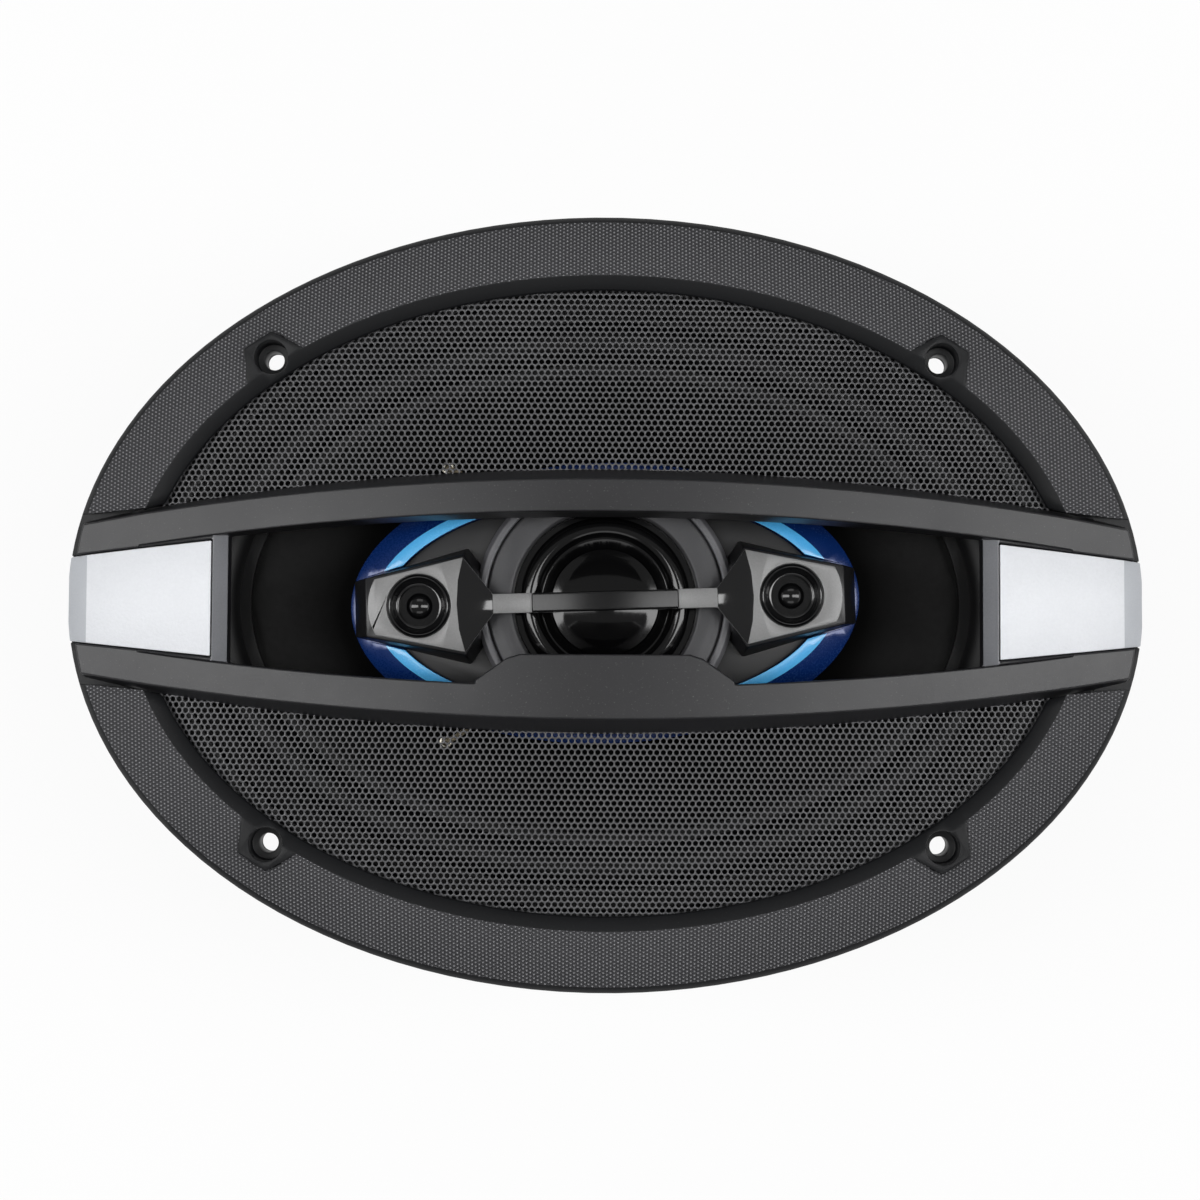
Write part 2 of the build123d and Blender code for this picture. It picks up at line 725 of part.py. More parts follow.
with BuildPart() as pod_face_plate:
    with BuildSketch(pod_xy.offset(ledge_z_pod)):
        Ellipse(plate_a - 0.2, plate_b - 0.2)
        Circle(mid_hole_r, mode=Mode.SUBTRACT)
    extrude(amount=pod_seat_z - ledge_z_pod)
pod_face_plate.part.label = "pod_face_plate"
export_step(pod_face_plate.part, "parts/pod_face_plate.step")

# ---------------------------------------------------------------- mid-range unit in the pod
mid_ledge_z = pod_seat_z + 1.2
mid_flange_z = pod_seat_z + 2.7
mid_flange_r = collar_r - collar_w - 0.2
with BuildPart() as mid_collar:
    turned([
        (collar_r - collar_w, pod_seat_z),
        (collar_r, pod_seat_z),
        (collar_r, collar_z - 0.9),
        (collar_r - 0.9, collar_z),
        (collar_r - collar_w + 0.3, collar_z),
        (collar_r - collar_w, collar_z - 0.4),
    ])
mid_collar.part.label = "mid_collar"
export_step(mid_collar.part, "parts/mid_collar.step")

pot_r = 11.0
with BuildPart() as mid_basket:
    turned([
        (mid_hole_r - 0.2, pod_seat_z),
        (mid_flange_r, pod_seat_z),
        (mid_flange_r, mid_flange_z),
        (mid_hole_r, mid_flange_z),
        (mid_hole_r, mid_ledge_z),
        (mid_roll_r + mid_roll_half, mid_ledge_z),
        (mid_roll_r + mid_roll_half, pod_seat_z - 1.0),
        (pot_r + 1.2, -4.0),
        (pot_r + 0.05, -4.0),
        (pot_r + 0.05, -5.2),
        (pot_r + 1.8, -5.2),
        (mid_hole_r - 0.2, pod_seat_z - 1.6),
    ])
mid_basket.part.label = "mid_basket"
export_step(mid_basket.part, "parts/mid_basket.step")

with BuildPart() as mid_bezel:
    turned([
        (mid_hole_r + 0.1, mid_flange_z),
        (mid_flange_r, mid_flange_z),
        (mid_flange_r, collar_z - 0.5),
        (mid_flange_r - 0.4, collar_z - 0.1),
        (mid_hole_r + 0.6, collar_z - 0.1),
        (mid_hole_r + 0.1, collar_z - 0.6),
    ])
mid_bezel.part.label = "mid_bezel"
export_step(mid_bezel.part, "parts/mid_bezel.step")

pot_floor_z = -8.9
pot_wall = 1.3
with BuildPart() as mid_pot:
    ring(pot_r, 0, pot_floor_z, -2.8)
    ring(mid_coil_r + 1.05, 0, pot_floor_z + pot_wall, -2.8, mode=Mode.SUBTRACT)
mid_pot.part.label = "mid_pot"
export_step(mid_pot.part, "parts/mid_pot.step")

mid_magnet_h = 3.0
mid_magnet_top = pot_floor_z + pot_wall + mid_magnet_h
with BuildPart() as mid_magnet:
    ring(mid_coil_r - 0.9, 0, pot_floor_z + pot_wall, mid_magnet_top)
mid_magnet.part.label = "mid_magnet"
export_step(mid_magnet.part, "parts/mid_magnet.step")

with BuildPart() as mid_pole_plate:
    ring(mid_coil_r - 0.7, 0, mid_magnet_top, mid_magnet_top + 1.6)
mid_pole_plate.part.label = "mid_pole_plate"
export_step(mid_pole_plate.part, "parts/mid_pole_plate.step")

mid_rim_z = mid_ledge_z + soft_gap
with BuildPart() as mid_cone:
    turned([
        (mid_coil_r, 0.0),
        (mid_coil_r, 0.6),
        (mid_roll_r - mid_roll_half - 0.3, mid_rim_z),
        (mid_roll_r - mid_roll_half + 0.3, mid_rim_z),
        (mid_roll_r - mid_roll_half + 0.3, mid_rim_z - 0.4),
        (mid_roll_r - mid_roll_half, mid_rim_z - 0.4),
    ])
mid_cone.part.label = "mid_cone"
export_step(mid_cone.part, "parts/mid_cone.step")

with BuildPart() as mid_surround:
    mid_roll = roll_section(upright(), mid_roll_r, mid_roll_half, mid_rim_z, 0.4, 0.25, 1.1)
    revolve(mid_roll, axis=Axis.Z)
mid_surround.part.label = "mid_surround"
export_step(mid_surround.part, "parts/mid_surround.step")

with BuildPart() as mid_dust_cap:
    cap_z = 3.3
    ring(12.2, 10.4, cap_z, cap_z + 0.4)
    domed_cap(10.8, cap_z + 0.2, 2.8, 0.4)
mid_dust_cap.part.label = "mid_dust_cap"
export_step(mid_dust_cap.part, "parts/mid_dust_cap.step")

with BuildPart() as mid_voice_coil:
    ring(mid_coil_r, mid_coil_r - 0.25, -6.2, 0.6)
    ring(mid_coil_r + 0.45, mid_coil_r, -5.4, -1.2)
mid_voice_coil.part.label = "mid_voice_coil"
export_step(mid_voice_coil.part, "parts/mid_voice_coil.step")

# ---------------------------------------------------------------- tweeters and the bridge between them
plate_bottom_z = tweeter_face_z - 2.0
bar_half = 2.2
bar_end = 16.4
facet_in = 25.2
for side, name in ((-1, "left"), (1, "right")):
    centre_x, centre_y = pod_spot(side * tweeter_x, 0)

    with BuildPart() as tweeter_pod:
        top_corners = [(54.0, -6.6), (54.0, 6.6), (31.6, 11.4), (29.0, 7.0), (29.0, -7.0), (31.6, -11.4)]
        with BuildSketch(pod_xy.offset(plate_bottom_z)) as pod_top:
            with BuildLine():
                Polyline(*[(side * x, y) for x, y in top_corners], close=True)
            make_face()
        loft([pod_base(side, 0, pod_xy.offset(pod_seat_z)), pod_top.sketch], ruled=True)
        ring(collar_r + clearance, 0, pod_seat_z, collar_z + clearance, mode=Mode.SUBTRACT)
        ring(tweeter_r - 0.5, 0, tweeter_seat_z, plate_bottom_z, centre_x, centre_y, Mode.SUBTRACT)
    save(tweeter_pod.part, f"tweeter_pod_{name}")

    with BuildPart() as tweeter_plate:
        with BuildSketch(pod_xy.offset(plate_bottom_z)):
            with BuildLine():
                Polyline(
                    (side * 51.7, 6.25),
                    (side * 31.7, 10.65),
                    (side * facet_in, bar_half),
                    (side * bar_end, bar_half),
                    (side * bar_end, -bar_half),
                    (side * facet_in, -bar_half),
                    (side * 31.7, -10.65),
                    (side * 51.7, -6.25),
                )
                ThreePointArc((side * 51.7, -6.25), (side * 53.3, 0), (side * 51.7, 6.25))
            make_face()
        extrude(amount=tweeter_face_z - plate_bottom_z)
        ring(tweeter_r + 0.1, 0, plate_bottom_z, tweeter_face_z, centre_x, centre_y, Mode.SUBTRACT)
    save(tweeter_plate.part, f"tweeter_plate_{name}")

    with BuildPart() as tweeter_bezel:
        mouth_r = tweeter_r - 2.5
        bezel_outline = [
            (mouth_r, plate_bottom_z + 0.2),
            (tweeter_r, plate_bottom_z + 0.2),
            (tweeter_r, tweeter_face_z + 0.2),
            (tweeter_r - 0.6, tweeter_face_z + 0.8),
            (mouth_r + 0.4, tweeter_face_z - 0.8),
            (mouth_r, tweeter_face_z - 0.8),
        ]
        turned(bezel_outline, centre_x, centre_y)
    save(tweeter_bezel.part, f"tweeter_bezel_{name}")

    with BuildPart() as tweeter_dome:
        film_z = plate_bottom_z - 0.5
        ring(tweeter_r - 1.3, tweeter_dome_r - 0.2, film_z, film_z + 0.2, centre_x, centre_y)
        domed_cap(tweeter_dome_r, film_z + 0.1, 1.8, 0.2, centre_x, centre_y)
    save(tweeter_dome.part, f"tweeter_dome_{name}")

    with BuildPart() as tweeter_coil:
        ring(tweeter_dome_r, tweeter_dome_r - 0.3, 8.6, plate_bottom_z - 0.5, centre_x, centre_y)
    save(tweeter_coil.part, f"tweeter_coil_{name}")

    with BuildPart() as tweeter_cup:
        ring(tweeter_r - 0.7, 0, tweeter_seat_z, 10.0, centre_x, centre_y)
        ring(tweeter_dome_r + 0.5, 0, tweeter_seat_z + 1.2, 10.0, centre_x, centre_y, Mode.SUBTRACT)
    save(tweeter_cup.part, f"tweeter_cup_{name}")

    with BuildPart() as tweeter_magnet:
        ring(tweeter_dome_r - 0.6, 0, tweeter_seat_z + 1.2, 9.8, centre_x, centre_y)
    save(tweeter_magnet.part, f"tweeter_magnet_{name}")

with BuildPart() as bridge_bar:
    with BuildSketch(pod_xy.offset(plate_bottom_z)):
        Rectangle(2 * bar_end - 0.2, 2 * bar_half)
    extrude(amount=tweeter_face_z + 0.6 - plate_bottom_z)
    top_edges = bridge_bar.edges().group_by(Axis.Z)[-1].sort_by(SortBy.LENGTH)[-2:]
    fillet(top_edges, 0.5)
bridge_bar.part.label = "bridge_bar"
export_step(bridge_bar.part, "parts/bridge_bar.step")

# ---------------------------------------------------------------- grille frame
end_start_x = bar_end_x - 6.0       # where the bars' ends start to sit in the frame
end_half_y = 21.6
pad_corners = [(0.0, 6.0), (-6.2, 1.9), (-5.1, -8.0), (5.0, -9.0), (9.2, 1.0)]
with BuildPart() as grille_frame:
    shell = [
        (frame_a, frame_b, 0),
        (frame_a, frame_b, skirt_h),
        (rim_a, rim_b, rim_z),
        (face_a, face_b, face_z),
    ]
    oval_stack(shell)
    for sx in (-1, 1):
        for sy in (-1, 1):
            with BuildSketch(Plane.XY.offset(rim_z)):
                with BuildLine():
                    Polyline(*[(sx * (hole_x - x), sy * (hole_y + y)) for x, y in pad_corners], close=True)
                make_face()
            extrude(amount=face_z - rim_z)
    hollow = [
        (frame_a - skirt_wall, frame_b - skirt_wall, 0),
        (frame_a - skirt_wall, frame_b - skirt_wall, rim_z - frame_wall - 0.8),
        (face_a, face_b, face_z - frame_wall - 0.6),
    ]
    oval_stack(hollow, mode=Mode.SUBTRACT)
    with BuildSketch(Plane.XY.offset(lip_z)):
        Ellipse(face_a + 0.8, face_b + 0.8)
    extrude(amount=lip_t)
    with BuildSketch(Plane.XY.offset(steel)):
        with Locations(*corners):
            Circle(boss_r)
    extrude(amount=face_z - 1.0 - steel)
    with BuildSketch(Plane.XY.offset(seat_z - 2.0)):
        Ellipse(frame_a - 1.0, frame_b - 1.0)
        Rectangle(2 * frame_a, 2 * end_half_y, mode=Mode.INTERSECT)
        Rectangle(2 * end_start_x, 2 * frame_b, mode=Mode.SUBTRACT)
    extrude(amount=2.0)
    oval_stack([(window_a, window_b, face_z - band_drop), (face_a, face_b, face_z)], mode=Mode.SUBTRACT)
    with BuildSketch(Plane.XY.offset(lip_z - 0.5)):
        Ellipse(window_a, window_b)
    extrude(amount=face_z - lip_z, mode=Mode.SUBTRACT)
    for side in (-1, 1):
        bar_room = [
            end_section(side * x, face_z + 4.0, seat_z, clearance) for x in (end_start_x, frame_a + 1.0)
        ]
        loft(bar_room, ruled=True, mode=Mode.SUBTRACT)
    with BuildSketch(Plane.XY.offset(seat_z - plate_t)):
        with Locations((-frame_a, 0), (frame_a, 0)):
            Rectangle(10.0, 2 * plate_out_y + 2 * clearance)
    extrude(amount=face_z, mode=Mode.SUBTRACT)
    with Locations(*[(x, y, face_z) for x, y in corners]):
        CounterBoreHole(hole_r, sink_r, face_z - ledge_z)
    with BuildSketch(Plane.XY.offset(seat_z - 2.0)):
        with Locations(*[(sx * screw_x, sy * screw_y) for sx in (-1, 1) for sy in (-1, 1)]):
            Circle(screw_r + 0.3)
    extrude(amount=2.0, mode=Mode.SUBTRACT)
grille_frame.part.label = "grille_frame"
export_step(grille_frame.part, "parts/grille_frame.step")

# ---------------------------------------------------------------- bars over the grille
def end_strip(side, start_x, sink, thick, spare):
    """A strip along the arch and the end facet: a silver end plate, or the room for it."""
    middle_x = (start_x + bar_end_x) / 2
    facet_slope = (bar_top(bar_end_x) - facet_z) / (facet_x - bar_end_x)
    over = [
        (bar_end_x, bar_top(bar_end_x) - sink),
        (plate_break_x, bar_top(bar_end_x) - sink - facet_slope * (plate_break_x - bar_end_x)),
        (plate_end_x, plate_tip_z + plate_sink - sink),
    ]
    under = [(x, z - thick) for x, z in reversed(over)]
    with BuildPart() as strip:
        with BuildSketch(Plane.XZ):
            with BuildLine():
                ThreePointArc(
                    (start_x, bar_top(start_x) - sink), (middle_x, bar_top(middle_x) - sink), over[0]
                )
                Polyline(*over, *under)
                ThreePointArc(
                    under[-1],
                    (middle_x, bar_top(middle_x) - sink - thick),
                    (start_x, bar_top(start_x) - sink - thick),
                )
                Line((start_x, bar_top(start_x) - sink - thick), (start_x, bar_top(start_x) - sink))
            make_face()
        extrude(amount=plate_in_y + spare, both=True)
        with BuildSketch():
            with BuildLine():
                Polyline(
                    (start_x, plate_in_y + spare),
                    (plate_end_x, plate_out_y + spare),
                    (plate_end_x, -plate_out_y - spare),
                    (start_x, -plate_in_y - spare),
                    close=True,
                )
            make_face()
            Ellipse(frame_a, frame_b, mode=Mode.INTERSECT)
        extrude(amount=bar_top_z, mode=Mode.INTERSECT)
    return strip.part if side > 0 else mirror(strip.part, about=Plane.YZ)


# Badge panel on the lower bar: its plan outline, from the left end to the right.
badge_outline = [
    (-28.4, -20.4), (-28.4, -17.9), (-21.5, -13.1), (-18.6, -12.2),
    (18.6, -12.2), (21.5, -13.1), (28.4, -17.9), (28.4, -20.4),
]
badge_hollow = [(-25.0, -19.6), (-20.0, -15.4), (-17.6, -14.4), (17.6, -14.4), (20.0, -15.4), (25.0, -19.6)]
badge_end_x = 28.4
with BuildPart() as badge_panel:
    with BuildSketch(Plane.XY.offset(bar_foot_z)):
        with BuildLine():
            Polyline(*badge_outline, close=True)
        make_face()
    extrude(amount=bar_top_z - bar_foot_z)
    with BuildSketch(Plane.XZ):
        with BuildLine():
            badge_end_z = bar_top(badge_end_x)
            ThreePointArc((-badge_end_x, badge_end_z), (0, bar_top_z), (badge_end_x, badge_end_z))
            Polyline(
                (badge_end_x, badge_end_z),
                (badge_end_x, bar_foot_z),
                (-badge_end_x, bar_foot_z),
                (-badge_end_x, badge_end_z),
            )
        make_face()
    extrude(amount=bar_outer_y, both=True, mode=Mode.INTERSECT)
    with BuildSketch(Plane.XY.offset(bar_foot_z)):
        with BuildLine():
            Polyline(*badge_hollow, close=True)
        make_face()
    extrude(amount=bar_top_z - bar_wall - 1.2 - bar_foot_z, mode=Mode.SUBTRACT)

stations = [bar_end_x * share / 3 for share in range(-3, 4)]
web_half_y = bar_edge(bar_inner_y, web_x) + 1.0
web_sink = 0.1              # the web lies this far under the bars' front faces
room_over = 3.0             # the plates' room is open this far above the front faces
bend_x = (plate_x + bar_end_x) / 2
with BuildPart() as grille_bars:
    loft([bar_section(x) for x in stations])
    mirror(about=Plane.XZ)
    for side in (-1, 1):
        facet = [
            end_section(side * bar_end_x, bar_top(bar_end_x), seat_z, 0),
            end_section(side * facet_x, facet_z, seat_z, 0),
        ]
        loft(facet, ruled=True)
        with BuildSketch(Plane.XZ):
            with BuildLine():
                Polyline(
                    (side * bar_end_x, bar_top(bar_end_x) - web_sink),
                    (side * bar_end_x, seat_z),
                    (side * (end_start_x + 4.0), seat_z),
                    (side * (end_start_x + 4.0), bar_foot_z),
                    (side * web_x, bar_foot_z),
                    (side * web_x, web_z),
                    (side * plate_x, bar_top(plate_x) - web_sink),
                    (side * bend_x, bar_top(bend_x) - web_sink),
                    close=True,
                )
            make_face()
        extrude(amount=web_half_y, both=True)
    add(badge_panel.part)
    with BuildSketch():
        Ellipse(rim_a, rim_b)
    extrude(amount=bar_top_z + 1.0, mode=Mode.INTERSECT)
    for side in (-1, 1):
        room = end_strip(side, plate_x, -room_over, plate_sink + plate_t + room_over, clearance)
        add(room, mode=Mode.SUBTRACT)
    with BuildSketch(Plane.XY.offset(seat_z)):
        with Locations(*[(sx * screw_x, sy * screw_y) for sx in (-1, 1) for sy in (-1, 1)]):
            Circle(screw_r + 0.05)
    extrude(amount=3.0, mode=Mode.SUBTRACT)
grille_bars.part.label = "grille_bars"
export_step(grille_bars.part, "parts/grille_bars.step")

for side, name in ((-1, "left"), (1, "right")):
    save(end_strip(side, plate_x + clearance, plate_sink, plate_t, 0), f"end_plate_{name}")

with BuildPart() as bar_screws:
    for sx in (-1, 1):
        for sy in (-1, 1):
            ring(screw_r, 0, seat_z - 2.0, seat_z + 2.6, sx * screw_x, sy * screw_y)
            ring(2 * screw_r, 0, seat_z - 3.7, seat_z - 2.0, sx * screw_x, sy * screw_y)
bar_screws.part.label = "bar_screws"
export_step(bar_screws.part, "parts/bar_screws.step")

# ---------------------------------------------------------------- grille mesh, above and below the bars
shares = (1.0, 0.85, 0.65, 0.45, 0.25)
dome_levels = [(mesh_a * share, mesh_b * share, mesh_z + dome_h * (1 - share**2)) for share in shares]
with BuildPart() as mesh_dome:
    oval_stack(dome_levels, ruled=False)
    oval_stack([(a, b, z - mesh_t) for a, b, z in dome_levels], ruled=False, mode=Mode.SUBTRACT)
    with BuildSketch(Plane.XY.offset(lip_z - mesh_t)):
        Ellipse(face_a - 0.4, face_b - 0.4)
        Ellipse(window_a + 0.2, window_b + 0.2, mode=Mode.SUBTRACT)
    extrude(amount=mesh_t)

edge_middle = bar_foot(0)[0] + clearance
edge_end = bar_foot(bar_end_x)[0] + clearance
for side, name in ((1, "upper"), (-1, "lower")):
    with BuildPart() as mesh_field:
        add(mesh_dome.part)
        with BuildSketch():
            with BuildLine():
                edge_left = (-bar_end_x, side * edge_end)
                edge_right = (bar_end_x, side * edge_end)
                ThreePointArc(edge_left, (0, side * edge_middle), edge_right)
                Polyline(
                    edge_right,
                    (bar_end_x, side * frame_b),
                    (-bar_end_x, side * frame_b),
                    edge_left,
                )
            make_face()
            with Locations(*corners):
                Circle(boss_r + clearance, mode=Mode.SUBTRACT)
        extrude(amount=bar_top_z, mode=Mode.INTERSECT)
    save(mesh_field.part, f"mesh_{name}")
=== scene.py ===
import json
import math

import bpy
import numpy as np
from mathutils import Matrix, Vector

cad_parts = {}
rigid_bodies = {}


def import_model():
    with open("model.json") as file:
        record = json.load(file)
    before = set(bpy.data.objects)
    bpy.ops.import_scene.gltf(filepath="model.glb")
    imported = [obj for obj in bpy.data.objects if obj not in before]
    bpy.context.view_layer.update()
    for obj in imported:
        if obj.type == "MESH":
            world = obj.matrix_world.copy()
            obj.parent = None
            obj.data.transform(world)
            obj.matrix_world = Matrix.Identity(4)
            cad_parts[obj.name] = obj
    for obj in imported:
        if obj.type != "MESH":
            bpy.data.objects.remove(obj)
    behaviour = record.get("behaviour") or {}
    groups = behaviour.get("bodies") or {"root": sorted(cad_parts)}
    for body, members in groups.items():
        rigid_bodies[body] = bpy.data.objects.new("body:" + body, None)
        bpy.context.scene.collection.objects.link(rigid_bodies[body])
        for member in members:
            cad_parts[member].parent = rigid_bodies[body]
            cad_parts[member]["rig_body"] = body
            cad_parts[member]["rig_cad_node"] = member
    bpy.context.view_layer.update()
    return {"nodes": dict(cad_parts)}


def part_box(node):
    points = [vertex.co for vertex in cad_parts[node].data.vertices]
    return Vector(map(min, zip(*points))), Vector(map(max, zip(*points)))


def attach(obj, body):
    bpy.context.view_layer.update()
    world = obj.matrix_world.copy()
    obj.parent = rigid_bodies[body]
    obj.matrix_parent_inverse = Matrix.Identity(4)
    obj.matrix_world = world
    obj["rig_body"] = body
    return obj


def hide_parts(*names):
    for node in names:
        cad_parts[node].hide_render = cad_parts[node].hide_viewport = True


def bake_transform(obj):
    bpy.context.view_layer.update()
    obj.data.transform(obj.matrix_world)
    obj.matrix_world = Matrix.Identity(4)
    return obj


# Oval coaxial car speaker: finishes, perforated grille, soft suspension and leads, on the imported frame.

MM = 0.001

bpy.ops.object.select_all(action="SELECT")
bpy.ops.object.delete()
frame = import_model()
nodes = frame["nodes"]
slot_of = {name: node.data.materials[0].name for name, node in nodes.items()}

# ---------------------------------------------------------------- sizes taken from the frame
foot_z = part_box("magnet_boot")[0].z
dome_a = 106.0 * MM                 # oval that the perforated grille is domed over
dome_b = 72.0 * MM
dome_rise = 5.0 * MM
dome_base_z = 7.8 * MM

pod_turn = math.radians(1.9)
pod_along = Vector((math.cos(pod_turn), math.sin(pod_turn), 0))
pod_across = Vector((-math.sin(pod_turn), math.cos(pod_turn), 0))


# ---------------------------------------------------------------- working on one piece at a time
def pick(piece):
    """Make a piece the only one selected, and the active one."""
    bpy.ops.object.select_all(action="DESELECT")
    piece.select_set(True)
    bpy.context.view_layer.objects.active = piece


def finish_with(piece, kind, **settings):
    """Add a modifier and apply it."""
    pick(piece)
    modifier = piece.modifiers.new(kind.title(), kind)
    for name, value in settings.items():
        setattr(modifier, name, value)
    bpy.ops.object.modifier_apply(modifier=modifier.name)


def round_edges(piece, width, segments=2, angle=30):
    finish_with(
        piece, "BEVEL",
        width=width, segments=segments, limit_method="ANGLE", angle_limit=math.radians(angle),
        use_clamp_overlap=False, miter_outer="MITER_ARC",
    )


def smooth(piece, angle=35):
    pick(piece)
    bpy.ops.object.shade_smooth_by_angle(angle=math.radians(angle))


def stand_for(piece, node, body=None):
    """The piece rides on the given body, if any, hides the CAD piece and takes its finish."""
    if body is not None:
        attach(piece, body)
    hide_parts(node)
    piece.data.materials.clear()
    piece.data.materials.append(finishes[slot_of[node]])


def merged_copy(node):
    """A copy of a CAD piece as one closed mesh with flat faces joined up."""
    pick(nodes[node])
    bpy.ops.object.duplicate()
    piece = bpy.context.active_object
    piece.name = piece.data.name = f"{node}_made"
    del piece["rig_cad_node"]
    piece.parent = None
    pick(piece)
    bpy.ops.mesh.customdata_custom_splitnormals_clear()
    bpy.ops.object.mode_set(mode="EDIT")
    bpy.ops.mesh.select_all(action="SELECT")
    bpy.ops.mesh.remove_doubles(threshold=0.002 * MM)
    bpy.ops.mesh.dissolve_limited(angle_limit=math.radians(0.4))
    bpy.ops.object.mode_set(mode="OBJECT")
    return piece


def refined(node, edge, segments=2):
    """A merged copy with rounded edges, in place of the CAD piece."""
    piece = merged_copy(node)
    stand_for(piece, node, nodes[node]["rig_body"])
    if edge:
        round_edges(piece, edge * MM, segments)
    smooth(piece)
    return piece


def paint(piece, material, test):
    """Give another finish to the faces that the test picks by centre and normal."""
    piece.data.materials.append(material)
    index = len(piece.data.materials) - 1
    for face in piece.data.polygons:
        if test(face.center, face.normal):
            face.material_index = index


# ---------------------------------------------------------------- finishes
def tone(red, green, blue):
    """A colour written as 0 to 255 screen values, in linear light."""
    linear = []
    for value in (red, green, blue):
        share = value / 255
        linear.append(share / 12.92 if share <= 0.04045 else ((share + 0.055) / 1.055) ** 2.4)
    return (*linear, 1.0)


def new_group(name, inputs, outputs):
    group = bpy.data.node_groups.new(name, "ShaderNodeTree")
    for label, value in inputs:
        socket = group.interface.new_socket(name=label, in_out="INPUT", socket_type="NodeSocketFloat")
        socket.default_value = value
    for label in outputs:
        group.interface.new_socket(name=label, in_out="OUTPUT", socket_type="NodeSocketFloat")
    return group, group.nodes.new("NodeGroupInput"), group.nodes.new("NodeGroupOutput")


def math_node(tree, operation, first, second=None):
    """A Math node fed by sockets or plain numbers; returns its output."""
    node = tree.nodes.new("ShaderNodeMath")
    node.operation = operation
    for socket, value in zip(node.inputs, (first, second)):
        if value is None:
            continue
        if isinstance(value, (int, float)):
            socket.default_value = value
        else:
            tree.links.new(value, socket)
    return node.outputs[0]


def noise_node(tree, vector, scale, detail=2.0, rough=0.5):
    node = tree.nodes.new("ShaderNodeTexNoise")
    node.inputs["Detail"].default_value = detail
    node.inputs["Roughness"].default_value = rough
    tree.links.new(vector, node.inputs["Vector"])
    if isinstance(scale, (int, float)):
        node.inputs["Scale"].default_value = scale
    else:
        tree.links.new(scale, node.inputs["Scale"])
    return node.outputs["Fac"]


def object_place(tree):
    return tree.nodes.new("ShaderNodeTexCoord").outputs["Object"]


def make_grain_group():
    """Fine moulding grain with slow cloudy variation and a few light specks of dust."""
    group, given, out = new_group(
        "moulding_grain", [("Grain Scale", 2600.0), ("Cloud Scale", 45.0)], ["Grain", "Cloud", "Dust"]
    )
    place = object_place(group)
    grain = noise_node(group, place, given.outputs["Grain Scale"], 3.0, 0.6)
    cloud = noise_node(group, place, given.outputs["Cloud Scale"], 4.0, 0.55)
    speck = noise_node(group, place, 2600.0, 1.0, 0.4)
    dust = math_node(group, "MULTIPLY", math_node(group, "SUBTRACT", speck, 0.68), 6.0)
    group.links.new(grain, out.inputs["Grain"])
    group.links.new(cloud, out.inputs["Cloud"])
    group.links.new(math_node(group, "MAXIMUM", dust, 0.0), out.inputs["Dust"])
    return group


def make_knurl_group():
    """Raised points in staggered rows across the frame's face, as the mould cuts them, and a mask of their
    tops for a painted highlight.
    """
    group, given, out = new_group(
        "frame_knurl", [("Pitch X", 1.64 * MM), ("Pitch Y", 0.88 * MM)], ["Height", "Tip Highlight"]
    )
    split = group.nodes.new("ShaderNodeSeparateXYZ")
    group.links.new(object_place(group), split.inputs[0])
    waves = []
    for axis, label in (("X", "Pitch X"), ("Y", "Pitch Y")):
        turns = math_node(group, "DIVIDE", split.outputs[axis], given.outputs[label])
        waves.append(math_node(group, "COSINE", math_node(group, "MULTIPLY", turns, 2 * math.pi)))
        if axis == "X":
            between = math_node(group, "COSINE", math_node(group, "MULTIPLY", turns, 4 * math.pi))
    crossed = math_node(group, "MULTIPLY", math_node(group, "MULTIPLY", waves[0], waves[1]), 2.0)
    height = math_node(group, "DIVIDE", math_node(group, "ADD", crossed, between), 3.0)
    group.links.new(height, out.inputs["Height"])
    # The tops of the points, as a mask for a painted highlight
    tip_highlight = math_node(group, "MULTIPLY", math_node(group, "SUBTRACT", height, 0.1), 1.2)
    group.links.new(math_node(group, "MAXIMUM", tip_highlight, 0.0), out.inputs["Tip Highlight"])
    return group


def make_turned_group():
    """Fine concentric tool marks about the speaker's axis."""
    group, given, out = new_group("turned_marks", [("Marks", 9000.0)], ["Mark"])
    split = group.nodes.new("ShaderNodeSeparateXYZ")
    group.links.new(object_place(group), split.inputs[0])
    across = math_node(group, "MULTIPLY", split.outputs["X"], split.outputs["X"])
    along = math_node(group, "MULTIPLY", split.outputs["Y"], split.outputs["Y"])
    radius = math_node(group, "SQRT", math_node(group, "ADD", across, along))
    join = group.nodes.new("ShaderNodeCombineXYZ")
    group.links.new(radius, join.inputs["X"])
    group.links.new(noise_node(group, join.outputs[0], given.outputs["Marks"], 2.0), out.inputs["Mark"])
    return group


def make_weave_group():
    """Plain woven threads in X and Y, for treated cloth."""
    group, given, out = new_group("cloth_weave", [("Threads", 1500.0)], ["Thread"])
    split = group.nodes.new("ShaderNodeSeparateXYZ")
    group.links.new(object_place(group), split.inputs[0])
    waves = []
    for axis in ("X", "Y"):
        turns = math_node(group, "MULTIPLY", split.outputs[axis], given.outputs["Threads"])
        waves.append(math_node(group, "SINE", math_node(group, "MULTIPLY", turns, 2 * math.pi)))
    group.links.new(math_node(group, "MULTIPLY", waves[0], waves[1]), out.inputs["Thread"])
    return group


